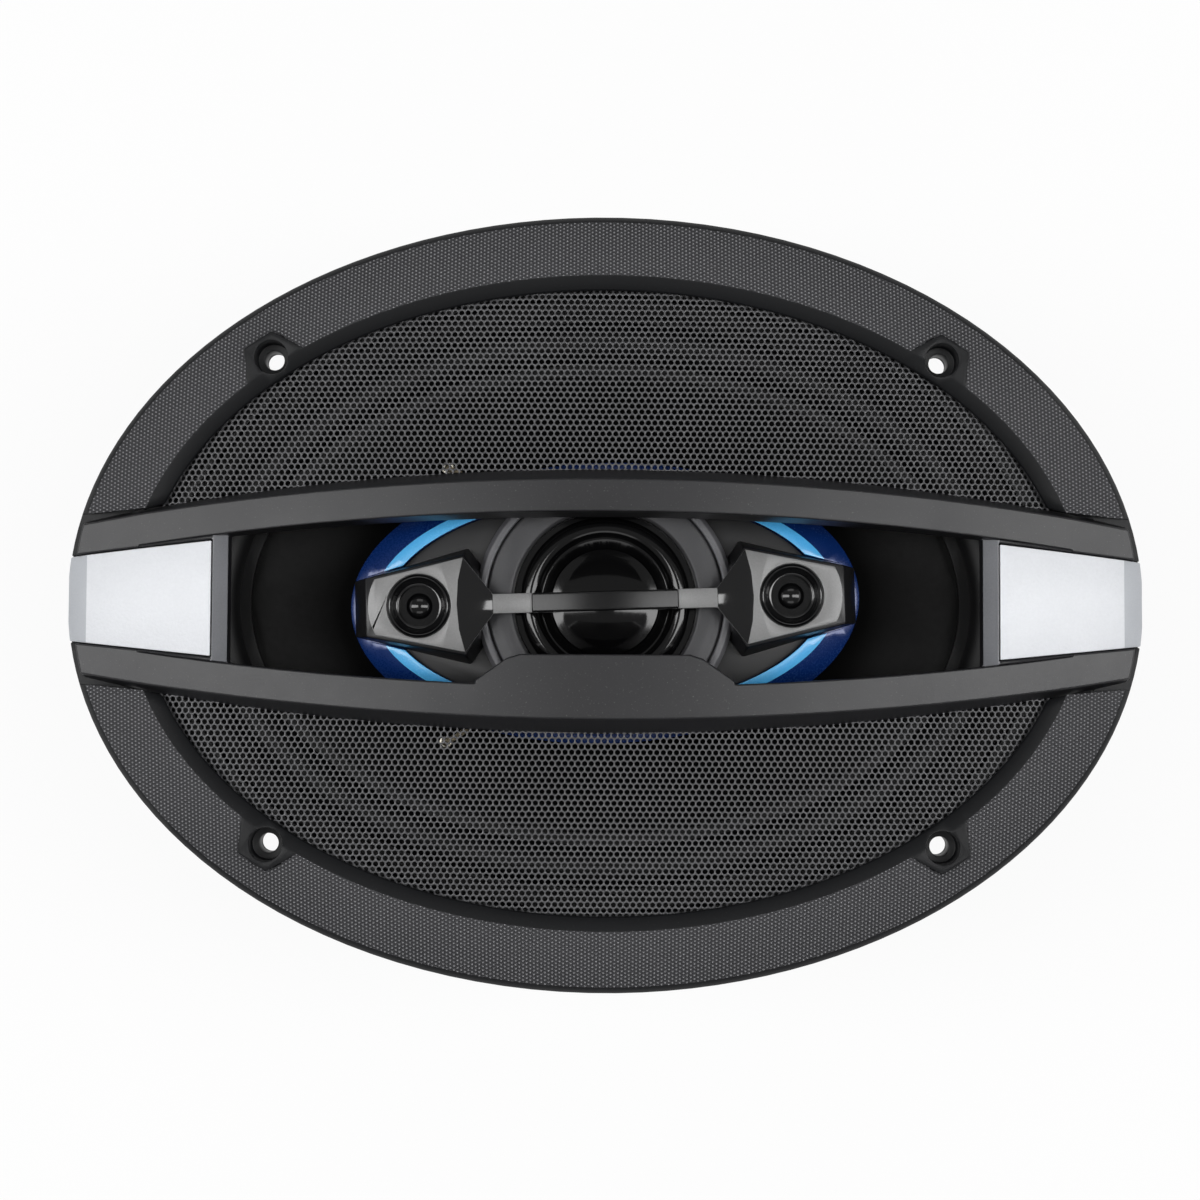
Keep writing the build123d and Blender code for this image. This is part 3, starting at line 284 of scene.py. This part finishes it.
def make_braid_group():
    """Crossing strands round a lead, read from the lead's own UV map."""
    group, given, out = new_group("lead_braid", [("Along", 60.0), ("Around", 5.0)], ["Strand"])
    split = group.nodes.new("ShaderNodeSeparateXYZ")
    group.links.new(group.nodes.new("ShaderNodeTexCoord").outputs["UV"], split.inputs[0])
    along = math_node(group, "MULTIPLY", split.outputs["X"], given.outputs["Along"])
    around = math_node(group, "MULTIPLY", split.outputs["Y"], given.outputs["Around"])
    strands = []
    for operation in ("ADD", "SUBTRACT"):
        turns = math_node(group, "MULTIPLY", math_node(group, operation, along, around), 2 * math.pi)
        strands.append(math_node(group, "ABSOLUTE", math_node(group, "SINE", turns)))
    group.links.new(math_node(group, "MAXIMUM", strands[0], strands[1]), out.inputs["Strand"])
    return group


grain_group = make_grain_group()
knurl_group = make_knurl_group()
turned_group = make_turned_group()
weave_group = make_weave_group()
braid_group = make_braid_group()


def placed(tree, group, **values):
    node = tree.nodes.new("ShaderNodeGroup")
    node.node_tree = group
    for label, value in values.items():
        node.inputs[label.replace("_", " ")].default_value = value
    return node


def blended(tree, factor, first, second):
    """Mix two colours, each a socket or a colour, by a factor socket; returns the colour."""
    node = tree.nodes.new("ShaderNodeMix")
    node.data_type = "RGBA"
    tree.links.new(factor, node.inputs[0])
    for socket, value in ((node.inputs[6], first), (node.inputs[7], second)):
        if isinstance(value, tuple):
            socket.default_value = value
        else:
            tree.links.new(value, socket)
    return node.outputs[2]


def spread(tree, factor, low, high):
    node = tree.nodes.new("ShaderNodeMapRange")
    tree.links.new(factor, node.inputs["Value"])
    node.inputs["From Min"].default_value = 0.25
    node.inputs["From Max"].default_value = 0.75
    node.inputs["To Min"].default_value = low
    node.inputs["To Max"].default_value = high
    return node.outputs["Result"]


def bumped(tree, height, depth, under=None):
    """A Bump node whose full height is depth in metres; returns its normal."""
    node = tree.nodes.new("ShaderNodeBump")
    node.inputs["Strength"].default_value = 1.0
    node.inputs["Distance"].default_value = depth
    tree.links.new(height, node.inputs["Height"])
    if under is not None:
        tree.links.new(under, node.inputs["Normal"])
    return node.outputs["Normal"]


def finish(name, dark, light, rough, metallic=0.0, grain=2600.0, depth=0.01, cloud=45.0,
           dust=0.0, coat=0.0, specular=0.5, pattern=None):
    """A surface between two colours and two roughnesses, with grain, dust and an optional relief pattern
    whose mask tints the colour; on the knurl that tint is a painted highlight.
    """
    material = bpy.data.materials.new(name)
    material.use_nodes = True
    tree = material.node_tree
    shader = tree.nodes["Principled BSDF"]
    shader.inputs["Metallic"].default_value = metallic
    shader.inputs["Coat Weight"].default_value = coat
    shader.inputs["Coat Roughness"].default_value = 0.08
    shader.inputs["Specular IOR Level"].default_value = specular
    surface = placed(tree, grain_group, Grain_Scale=grain, Cloud_Scale=cloud)
    both = math_node(tree, "ADD", surface.outputs["Grain"], surface.outputs["Cloud"])
    mixed = math_node(tree, "MULTIPLY", both, 0.5)
    colour = blended(tree, spread(tree, mixed, 0.0, 1.0), dark, light)
    if dust:
        speck = math_node(tree, "MULTIPLY", surface.outputs["Dust"], dust)
        colour = blended(tree, speck, colour, tone(150, 148, 144))
    normal = bumped(tree, surface.outputs["Grain"], depth * MM)
    if pattern:
        group, output, relief, mask, tint, share = pattern
        raised = placed(tree, group)
        normal = bumped(tree, raised.outputs[output], relief * MM, normal)
        colour = blended(tree, math_node(tree, "MULTIPLY", raised.outputs[mask], share), colour, tint)
    tree.links.new(colour, shader.inputs["Base Color"])
    tree.links.new(spread(tree, mixed, rough[0], rough[1]), shader.inputs["Roughness"])
    tree.links.new(normal, shader.inputs["Normal"])
    return material


finishes = {
    "textured_plastic": finish("frame_smooth", tone(8, 9, 11), tone(14, 15, 18), (0.42, 0.55), depth=0.012,
                               dust=0.04, specular=0.28),
    "bar_plastic": finish("bar_satin", tone(12, 12, 15), tone(22, 22, 26), (0.32, 0.46), depth=0.012,
                          dust=0.2),
    "silver_plate": finish("plate_silver", tone(210, 212, 216), tone(221, 223, 227), (0.36, 0.46),
                           grain=1500.0, depth=0.06, cloud=90.0),
    "mesh_steel": finish("mesh_black", tone(64, 64, 66), tone(88, 88, 90), (0.26, 0.36), depth=0.006),
    "basket_paint": finish("basket_black", tone(18, 18, 19), tone(30, 30, 31), (0.35, 0.55), depth=0.02,
                           grain=1400.0, dust=0.08),
    "gasket_foam": finish("foam_black", tone(14, 14, 14), tone(34, 33, 33), (0.9, 1.0), depth=0.15,
                          grain=1100.0),
    "zinc_steel": finish("zinc_plate", tone(150, 152, 150), tone(196, 198, 192), (0.22, 0.42), 1.0,
                         depth=0.004, cloud=160.0),
    "ferrite": finish("ferrite_grey", tone(38, 37, 38), tone(58, 56, 56), (0.6, 0.8), depth=0.04,
                      grain=900.0),
    "boot_rubber": finish("boot_black", tone(16, 16, 17), tone(27, 27, 28), (0.5, 0.66), depth=0.02,
                          grain=1500.0, dust=0.1),
    "board_laminate": finish("laminate_tan", tone(120, 78, 40), tone(158, 108, 62), (0.45, 0.6), depth=0.01,
                             cloud=400.0),
    "tinned_brass": finish("tinned_brass", tone(176, 172, 160), tone(214, 210, 198), (0.2, 0.38), 1.0,
                           depth=0.004),
    "lead_braid": finish("braid_beige", tone(150, 136, 110), tone(190, 176, 150), (0.55, 0.75), depth=0.01,
                         pattern=(braid_group, "Strand", 0.12, "Strand", tone(206, 192, 166), 0.5)),
    "wire_sleeve": finish("sleeve_black", tone(14, 14, 15), tone(24, 24, 25), (0.35, 0.5), depth=0.01),
    "cone_fibre": finish("cone_black", tone(2, 2, 2), tone(5, 5, 5), (0.55, 0.75), depth=0.04, grain=700.0,
                         specular=0.2),
    "surround_rubber": finish("surround_black", tone(7, 7, 8), tone(13, 13, 14), (0.4, 0.55), depth=0.01,
                              cloud=120.0, specular=0.3),
    "spider_cloth": finish("spider_amber", tone(150, 104, 44), tone(190, 142, 74), (0.7, 0.85), depth=0.02,
                           pattern=(weave_group, "Thread", 0.10, "Thread", tone(120, 80, 34), 0.35)),
    "coil_former": finish("former_brown", tone(140, 92, 50), tone(170, 118, 70), (0.3, 0.45), depth=0.005),
    "coil_winding": finish("winding_copper", tone(168, 92, 52), tone(206, 122, 74), (0.25, 0.4), 1.0,
                           depth=0.01),
    "pod_plastic": finish("pod_black", tone(16, 16, 18), tone(26, 26, 28), (0.26, 0.36), depth=0.008,
                          dust=0.04),
    "blue_trim": finish("trim_navy", tone(6, 36, 92), tone(10, 46, 108), (0.22, 0.32), 0.2, depth=0.004,
                        coat=0.4),
    "pod_face": finish("face_grey", tone(22, 22, 23), tone(33, 33, 34), (0.4, 0.52), depth=0.01),
    "brushed_trim": finish("bezel_turned", tone(44, 44, 46), tone(60, 60, 62), (0.34, 0.46), 0.25,
                           depth=0.003,
                           pattern=(turned_group, "Mark", 0.02, "Mark", tone(76, 76, 79), 0.3)),
    "satin_trim": finish("tweeter_satin", tone(112, 112, 112), tone(134, 134, 134), (0.36, 0.48), 0.3,
                         depth=0.006),
    "gloss_black": finish("gloss_black", tone(6, 6, 7), tone(12, 12, 13), (0.07, 0.13), depth=0.001,
                          coat=0.6),
    "mid_cone_film": finish("mid_cone_black", tone(4, 4, 4), tone(8, 8, 9), (0.08, 0.14), depth=0.002),
    "mid_roll_film": finish("mid_roll_black", tone(4, 4, 4), tone(8, 8, 9), (0.07, 0.13), depth=0.002),
    "dome_film": finish("dome_black", tone(6, 6, 7), tone(11, 11, 12), (0.06, 0.12), depth=0.001),
    "motor_steel": finish("motor_steel", tone(120, 121, 122), tone(160, 161, 162), (0.3, 0.45), 1.0,
                          depth=0.005),
    "neodymium": finish("magnet_nickel", tone(160, 160, 158), tone(196, 196, 192), (0.15, 0.3), 1.0,
                        depth=0.003),
}
# Knurled face: the tops of the raised points are tinted lighter, a painted highlight.
knurled = finish("frame_textured", tone(36, 36, 39), tone(47, 47, 50), (0.5, 0.62), depth=0.01,
                 pattern=(knurl_group, "Height", 0.20, "Tip Highlight", tone(144, 144, 147), 0.8))
# Painted shade for the silver plates' steeper outer ends.
plate_end_painted_shade = finish("plate_end_painted_shade_grey", tone(170, 173, 178), tone(184, 187, 192), (0.4, 0.5), depth=0.01)
sky_stripe = finish("stripe_sky", tone(60, 160, 225), tone(96, 190, 244), (0.2, 0.3), 0.0, depth=0.003,
                    coat=0.5)
collar_satin = finish("collar_satin", tone(78, 78, 81), tone(100, 100, 103), (0.36, 0.48), 0.2, depth=0.004)
bridge_black = finish("bridge_black", tone(8, 8, 9), tone(15, 15, 16), (0.2, 0.28), depth=0.001,
                      specular=0.35)
# Painted highlight for the bars' slopes at the window ends.
window_end_painted_highlight = finish("window_end_painted_highlight_grey", tone(118, 119, 123), tone(142, 143, 147), (0.36, 0.48), 0.0,
                    depth=0.01)

for name, node in nodes.items():
    node.material_slots[0].material = finishes[slot_of[name]]


# ---------------------------------------------------------------- mouldings and pressings with rounded edges
edge_rounding = {
    "bar_screws": 0.15, "basket": 0.3, "basket_rivets": 0.2, "top_plate": 0.2, "magnet": 0.3,
    "pole_yoke": 0.2, "magnet_boot": 0.6, "terminal_board": 0.2, "terminal_positive": 0.15,
    "terminal_negative": 0.15, "terminal_rivets": 0.2, "pod_post": 0.2, "pod_nut": 0.3,
    "pod_housing": 0.3, "pod_face_plate": 0.1, "mid_collar": 0.15, "mid_basket": 0.15,
    "mid_bezel": 0.12, "mid_pot": 0.1, "mid_dust_cap": 0.08, "mid_cone": 0.08, "mid_voice_coil": 0.0,
    "bridge_bar": 0.15, "lead_eyelets": 0.15, "cone_gasket": 0.4, "woofer_cone": 0.1,
    "voice_coil_former": 0.0, "voice_coil_winding": 0.1,
}
for side in ("left", "right"):
    edge_rounding[f"tweeter_pod_{side}"] = 0.45
    edge_rounding[f"tweeter_bezel_{side}"] = 0.12
    edge_rounding[f"tweeter_dome_{side}"] = 0.0
    edge_rounding[f"tweeter_cup_{side}"] = 0.1
made = {node: refined(node, edge) for node, edge in edge_rounding.items()}
made["mid_collar"].data.materials[0] = collar_satin
made["bridge_bar"].data.materials[0] = bridge_black

# Frame: the sloping face is textured, and the pads, band and skirt stay smooth.
textured_depth = 3.6 * MM           # how far the textured face reaches down from the frame's crest
grille_frame = merged_copy("grille_frame")
stand_for(grille_frame, "grille_frame", "chassis")
face_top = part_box("grille_frame")[1].z


def on_textured_face(centre, normal):
    outward = centre.x * normal.x / dome_a**2 + centre.y * normal.y / dome_b**2
    return 0.9 < normal.z < 0.995 and outward > 0 and centre.z > face_top - textured_depth


paint(grille_frame, knurled, on_textured_face)
round_edges(grille_frame, 0.35 * MM)
smooth(grille_frame, 40)

# Bars: one moulding; its short slopes down to the speaker at the silver plates' inner ends are painted paler,
# a painted highlight on the black plastic.
grille_bars = merged_copy("grille_bars")
stand_for(grille_bars, "grille_bars", "chassis")
plate_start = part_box("end_plate_right")[0].x
window_half_y = 19 * MM


def on_window_end(centre, normal):
    inward = -normal.x if centre.x > 0 else normal.x
    in_window = abs(centre.x) < plate_start and abs(centre.y) < window_half_y
    return in_window and inward > 0.5 and 0.2 < normal.z < 0.95


paint(grille_bars, window_end_painted_highlight, on_window_end)
round_edges(grille_bars, 0.35 * MM, 3)
smooth(grille_bars, 12)

# Silver plates: the steeper outer end is painted greyer, a painted shade for its steeper slope.
plate_tip_run = 4.8 * MM
for side in ("left", "right"):
    plate = merged_copy(f"end_plate_{side}")
    stand_for(plate, f"end_plate_{side}", "chassis")
    outer_end = max(abs(corner.x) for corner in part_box(f"end_plate_{side}")) - plate_tip_run
    paint(plate, plate_end_painted_shade, lambda centre, normal: normal.z > 0.3 and abs(centre.x) > outer_end)
    round_edges(plate, 0.3 * MM)
    smooth(plate)

# Blue trim ring: a navy slope with a sky-blue stripe along its crest.
stripe_depth = 0.6 * MM
trim_ring = merged_copy("pod_trim_ring")
stand_for(trim_ring, "pod_trim_ring", "chassis")
crest_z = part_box("pod_trim_ring")[1].z
paint(trim_ring, sky_stripe, lambda centre, normal: normal.z > 0.9 and centre.z > crest_z - stripe_depth)
round_edges(trim_ring, 0.12 * MM)
smooth(trim_ring)

# ---------------------------------------------------------------- tweeter plates with glossy inner facets
facet_start = 25.2 * MM
facet_bow = [(31.7, -10.65), (32.95, -5.5), (33.35, 0.0), (32.95, 5.5), (31.7, 10.65)]
for side, direction in (("left", -1), ("right", 1)):
    plate = merged_copy(f"tweeter_plate_{side}")
    stand_for(plate, f"tweeter_plate_{side}", "chassis")
    outward = pod_along * direction
    bow = [(outward * reach + pod_across * across) * MM for reach, across in facet_bow]
    cuts = [(outward * facet_start, -outward)]
    for here, beyond in zip(bow, bow[1:]):
        cuts.append((here, (beyond - here).cross(Vector((0, 0, direction))).normalized()))
    pick(plate)
    bpy.ops.object.mode_set(mode="EDIT")
    for place, facing in cuts:
        bpy.ops.mesh.select_all(action="SELECT")
        bpy.ops.mesh.bisect(plane_co=place, plane_no=facing)
    bpy.ops.object.mode_set(mode="OBJECT")

    def on_facet(centre, normal):
        return normal.z > 0.9 and all((centre - place).xy.dot(facing.xy) < 0 for place, facing in cuts)

    paint(plate, finishes["gloss_black"], on_facet)
    round_edges(plate, 0.18 * MM)
    smooth(plate)


# ---------------------------------------------------------------- perforated grille
hole_pitch = 1.47 * MM
row_pitch = hole_pitch * math.sqrt(3) / 2
hole_r = 0.60 * MM
sheet_t = 0.5 * MM
under_lip = 0.4 * MM                # how far the sheet runs in under the frame's lip
into_foot = 0.5 * MM                # and into the bars' feet
bar_front_y = 26.4 * MM             # outer edge of a bar's front face, at the middle
bar_sweep_r = 745 * MM
bar_top_z = 24 * MM
bar_rise_r = 492 * MM
bar_lean = 0.267                    # how far a bar's outer side leans out for its height
foot_reach = 3 * MM
edge_turn = 2.0 * MM                # width of the edge that is turned down
edge_drop = 0.9 * MM


def bar_foot_y(x):
    """Distance from the centre line at which a bar's outer side meets the grille."""
    front_y = bar_front_y - x**2 / (2 * bar_sweep_r)
    grille_z = dome_base_z + dome_rise * (1 - (x / dome_a) ** 2 - ((front_y + foot_reach) / dome_b) ** 2)
    return front_y + bar_lean * (bar_top_z - x**2 / (2 * bar_rise_r) - grille_z)


def perforated(name, side):
    """One field of the grille: a hexagonal cell with a round hole, repeated, trimmed, domed and thickened."""
    columns = int(2 * dome_a / hole_pitch) + 3
    low_y = 20.0 * MM
    rows = int((dome_b - low_y) / (2 * row_pitch)) + 2
    start_x = -columns * hole_pitch / 2
    bpy.ops.object.select_all(action="DESELECT")
    bpy.ops.mesh.primitive_circle_add(vertices=6, radius=hole_pitch / math.sqrt(3), location=(0, 0, 0))
    sheet = bpy.context.active_object
    sheet.name = sheet.data.name = name
    bpy.ops.object.mode_set(mode="EDIT")
    bpy.ops.mesh.primitive_circle_add(vertices=10, radius=hole_r, location=(0, 0, 0))
    bpy.ops.mesh.select_all(action="SELECT")
    bpy.ops.mesh.bridge_edge_loops()
    bpy.ops.mesh.select_all(action="SELECT")
    bpy.ops.mesh.duplicate_move(TRANSFORM_OT_translate={"value": (hole_pitch / 2, row_pitch, 0)})
    bpy.ops.mesh.select_all(action="SELECT")
    bpy.ops.transform.translate(value=(start_x, low_y, 0))
    bpy.ops.object.mode_set(mode="OBJECT")
    for count, step in ((columns, (hole_pitch, 0, 0)), (rows, (0, 2 * row_pitch, 0))):
        finish_with(sheet, "ARRAY", count=count, use_relative_offset=False, use_constant_offset=True,
                    constant_offset_displace=step)
    if side < 0:
        bpy.ops.object.mode_set(mode="EDIT")
        bpy.ops.mesh.select_all(action="SELECT")
        bpy.ops.transform.mirror(constraint_axis=(False, True, False), center_override=(0, 0, 0))
        bpy.ops.mesh.flip_normals()
        bpy.ops.object.mode_set(mode="OBJECT")
    places = np.empty(len(sheet.data.vertices) * 3)
    sheet.data.vertices.foreach_get("co", places)
    places = places.reshape(-1, 3)
    x, y = places[:, 0], places[:, 1]
    reach = (x / dome_a) ** 2 + (y / dome_b) ** 2
    outside = (reach > (1 + under_lip / dome_b) ** 2) | (np.abs(y) < bar_foot_y(x) - into_foot)
    to_rim = dome_b * (1 - np.sqrt(reach))
    turned_down = np.clip(1 - to_rim / edge_turn, 0, 1) ** 2 * edge_drop
    places[:, 2] = dome_base_z + dome_rise * (1 - reach) - turned_down
    sheet.data.vertices.foreach_set("co", places.ravel())
    bpy.ops.object.mode_set(mode="EDIT")
    bpy.ops.mesh.select_mode(type="VERT")
    bpy.ops.mesh.select_all(action="DESELECT")
    bpy.ops.object.mode_set(mode="OBJECT")
    sheet.data.vertices.foreach_set("select", outside)
    bpy.ops.object.mode_set(mode="EDIT")
    bpy.ops.mesh.delete(type="VERT")
    bpy.ops.mesh.select_all(action="SELECT")
    bpy.ops.mesh.remove_doubles(threshold=0.03 * MM)
    bpy.ops.mesh.normals_make_consistent(inside=False)
    bpy.ops.object.mode_set(mode="OBJECT")
    if sheet.data.polygons[0].normal.z < 0:
        sheet.data.flip_normals()
    finish_with(sheet, "SOLIDIFY", thickness=sheet_t, offset=-1.0)
    bpy.ops.object.shade_smooth()
    return sheet


for side, name in ((1, "mesh_upper"), (-1, "mesh_lower")):
    sheet = perforated(f"{name}_perforated", side)
    stand_for(sheet, name, "chassis")


# ---------------------------------------------------------------- rolled edges and spider
def ring_shell(name, levels, segments):
    """A closed shell through oval rings, each given as (half length, half width, height)."""
    bpy.ops.object.select_all(action="DESELECT")
    bpy.ops.mesh.primitive_circle_add(vertices=segments, radius=1.0, location=(0, 0, 0))
    shell = bpy.context.active_object
    shell.name = shell.data.name = name
    bpy.ops.object.mode_set(mode="EDIT")
    bpy.ops.mesh.select_all(action="SELECT")
    a, b, z = levels[0]
    bpy.ops.transform.resize(value=(a, b, 1))
    bpy.ops.transform.translate(value=(0, 0, z))
    for next_a, next_b, next_z in levels[1:] + levels[:1]:
        bpy.ops.mesh.extrude_edges_move(TRANSFORM_OT_translate={"value": (0, 0, next_z - z)})
        bpy.ops.transform.resize(value=(next_a / a, next_b / b, 1), center_override=(0, 0, next_z))
        a, b, z = next_a, next_b, next_z
    bpy.ops.mesh.select_all(action="SELECT")
    bpy.ops.mesh.remove_doubles(threshold=0.01 * MM)
    bpy.ops.mesh.normals_make_consistent(inside=False)
    bpy.ops.object.mode_set(mode="OBJECT")
    smooth(shell, 50)
    return shell


def roll_levels(mid_a, mid_b, half, base_z, wall, inner_lip, outer_lip, steps=14):
    """Rings over the outside of a half-round roll and back along its underside."""
    over = [(-half - inner_lip, wall)]
    under = [(half + outer_lip, 0.0)]
    for step in range(steps + 1):
        turn = math.pi * (1 - step / steps)
        over.append((half * math.cos(turn), max(wall, half * math.sin(turn))))
        under.append(((half - wall) * math.cos(math.pi - turn), (half - wall) * math.sin(turn)))
    over.append((half + outer_lip, wall))
    under.append((-half - inner_lip, 0.0))
    return [(mid_a + out, mid_b + out, base_z + up) for out, up in over + under]


def wave_levels(inner_r, wave_in, wave_out, outer_r, base_z, wall, waves, rise, steps=8):
    """Rings over a corrugated disc and back along its underside."""
    line = [(inner_r, 0.0)]
    for step in range(waves * steps + 1):
        share = step / (waves * steps)
        line.append((wave_in + (wave_out - wave_in) * share, rise * math.sin(2 * math.pi * waves * share)))
    line.append((outer_r, 0.0))
    top = [(r, r, base_z + wall + up) for r, up in line]
    return top + [(r, r, base_z + up) for r, up in reversed(line)]


def hang(shell):
    """Bake the ring's placement into its mesh."""
    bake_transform(shell)


roll_a = 90 * MM                    # middle of the woofer's roll
roll_b = 61 * MM
surround_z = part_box("woofer_surround")[0].z
surround = ring_shell(
    "woofer_surround_rolled",
    roll_levels(
        roll_a, roll_b, half=5 * MM, base_z=surround_z, wall=0.6 * MM, inner_lip=2.6 * MM, outer_lip=4.2 * MM
    ),
    segments=192,
)
stand_for(surround, "woofer_surround")
hang(surround)

mid_roll_r = 17.1 * MM
mid_surround_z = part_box("mid_surround")[0].z
mid_surround = ring_shell(
    "mid_surround_rolled",
    roll_levels(
        mid_roll_r, mid_roll_r, half=2.35 * MM, base_z=mid_surround_z, wall=0.4 * MM,
        inner_lip=0.25 * MM, outer_lip=1.1 * MM,
    ),
    segments=96,
)
stand_for(mid_surround, "mid_surround")
hang(mid_surround)

spider_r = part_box("spider")[1].x
spider = ring_shell(
    "spider_corrugated",
    wave_levels(
        inner_r=16.2 * MM, wave_in=18.2 * MM, wave_out=43.4 * MM, outer_r=spider_r, base_z=-39.7 * MM,
        wall=0.5 * MM, waves=5, rise=1.3 * MM,
    ),
    segments=128,
)
stand_for(spider, "spider")
hang(spider)


# ---------------------------------------------------------------- leads
def lead(name, route, radius):
    """A round lead on one smooth line through the route's control points."""
    curve = bpy.data.curves.new(name, "CURVE")
    curve.dimensions = "3D"
    curve.bevel_depth = radius
    curve.bevel_resolution = 3
    curve.use_fill_caps = True
    spline = curve.splines.new("NURBS")
    spline.points.add(len(route) - 1)
    for point, place in zip(spline.points, route):
        point.co = (*[value * MM for value in place], 1)
    spline.order_u = 3
    spline.use_endpoint_u = True
    spline.resolution_u = 10
    piece = bpy.data.objects.new(name, curve)
    bpy.context.scene.collection.objects.link(piece)
    pick(piece)
    bpy.ops.object.convert(target="MESH")
    piece = bpy.context.active_object
    bpy.ops.object.shade_smooth()
    return piece


lead_r = 0.7 * MM
for name, y_side in (("positive", 1), ("negative", -1)):
    terminal_end = (-72.3, 5.9 * y_side, -27.6)
    eyelet_end = (-37.5, 32.5 * y_side, -17.0)
    tinsel = lead(f"tinsel_lead_{name}_braided", [
        terminal_end,
        (-73.8, 11.8 * y_side, -27.7),
        (-69.5, 18.0 * y_side, -28.5),
        (-60.5, 20.5 * y_side, -26.5),
        (-51.5, 26.0 * y_side, -27.0),
        (-43.0, 31.0 * y_side, -26.5),
        (-37.5, 32.5 * y_side, -21.5),
        eyelet_end,
    ], lead_r)
    stand_for(tinsel, f"tinsel_lead_{name}")
    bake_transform(tinsel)
    cone_lead = lead(f"cone_lead_{name}_braided", [
        (-37.5, 32.5 * y_side, -13.6),
        (-37.2, 32.3 * y_side, -11.4),
        (-34.1, 30.9 * y_side, -10.8),
        (-30.9, 27.9 * y_side, -13.4),
    ], lead_r)
    stand_for(cone_lead, f"cone_lead_{name}", "woofer_diaphragm")

# ---------------------------------------------------------------- camera, light and floor
camera_data = bpy.data.cameras.new("camera")
camera_data.sensor_width = 36
camera_data.lens = 59.93
camera = bpy.data.objects.new("camera", camera_data)
bpy.context.scene.collection.objects.link(camera)
tip_x, tip_y, roll = math.radians(2.545), math.radians(0.076), math.radians(0.303)
back = Vector((math.sin(tip_y) * math.cos(tip_x), -math.sin(tip_x), math.cos(tip_y) * math.cos(tip_x)))
right = Vector((math.cos(tip_y), 0, -math.sin(tip_y)))
up = back.cross(right)
turned_right = right * math.cos(roll) + up * math.sin(roll)
turned_up = up * math.cos(roll) - right * math.sin(roll)
camera.matrix_world = Matrix.Translation((-0.000581, -0.019747, 0.460556)) @ Matrix(
    (turned_right, turned_up, back)).transposed().to_4x4()
camera_data.clip_start = 0.01
bpy.context.scene.camera = camera


def soft_light(name, place, size, power, aim=(0, 0, 0)):
    """A rectangular soft box turned to the speaker."""
    data = bpy.data.lights.new(name, "AREA")
    data.shape = "RECTANGLE"
    data.size, data.size_y = size
    data.energy = power
    box = bpy.data.objects.new(name, data)
    bpy.context.scene.collection.objects.link(box)
    box.location = place
    box.rotation_euler = (Vector(aim) - Vector(place)).to_track_quat("-Z", "Y").to_euler()


soft_light("light_left", (-0.62, 0.0, 0.80), (0.32, 1.0), 5.8)
soft_light("light_right", (0.62, 0.0, 0.80), (0.32, 1.0), 5.8)
soft_light("light_front", (0.0, -0.90, 0.80), (0.9, 0.4), 1.2)
soft_light("light_back", (0.0, 0.90, 0.80), (0.9, 0.4), 1.2)

bpy.ops.object.select_all(action="DESELECT")
bpy.ops.mesh.primitive_plane_add(size=4.0, location=(0, 0, foot_z))
floor = bpy.context.active_object
floor.name = "floor"
white = bpy.data.materials.new("floor_white")
white.use_nodes = True
tree = white.node_tree
shader = tree.nodes["Principled BSDF"]
shader.inputs["Base Color"].default_value = (0.86, 0.86, 0.86, 1)
shader.inputs["Roughness"].default_value = 0.9
shader.inputs["Specular IOR Level"].default_value = 0.1
glow = tree.nodes.new("ShaderNodeEmission")
glow.inputs["Strength"].default_value = 1.0
rays = tree.nodes.new("ShaderNodeLightPath")
seen = math_node(tree, "MAXIMUM", rays.outputs["Is Camera Ray"], rays.outputs["Is Glossy Ray"])
seen = math_node(tree, "MAXIMUM", seen, rays.outputs["Is Transmission Ray"])
mix = tree.nodes.new("ShaderNodeMixShader")
tree.links.new(math_node(tree, "MULTIPLY", seen, 0.9), mix.inputs[0])
tree.links.new(shader.outputs[0], mix.inputs[1])
tree.links.new(glow.outputs[0], mix.inputs[2])
tree.links.new(mix.outputs[0], tree.nodes["Material Output"].inputs["Surface"])
floor.data.materials.append(white)

world = bpy.data.worlds.new("studio")
bpy.context.scene.world = world
world.use_nodes = True
tree = world.node_tree
air = tree.nodes["Background"]
rays = tree.nodes.new("ShaderNodeLightPath")
fill = 0.25
tree.links.new(
    math_node(tree, "ADD", math_node(tree, "MULTIPLY", rays.outputs["Is Camera Ray"], 1 - fill), fill),
    air.inputs["Strength"])
air.inputs["Color"].default_value = (1, 1, 1, 1)

bpy.context.scene.view_settings.view_transform = "Standard"
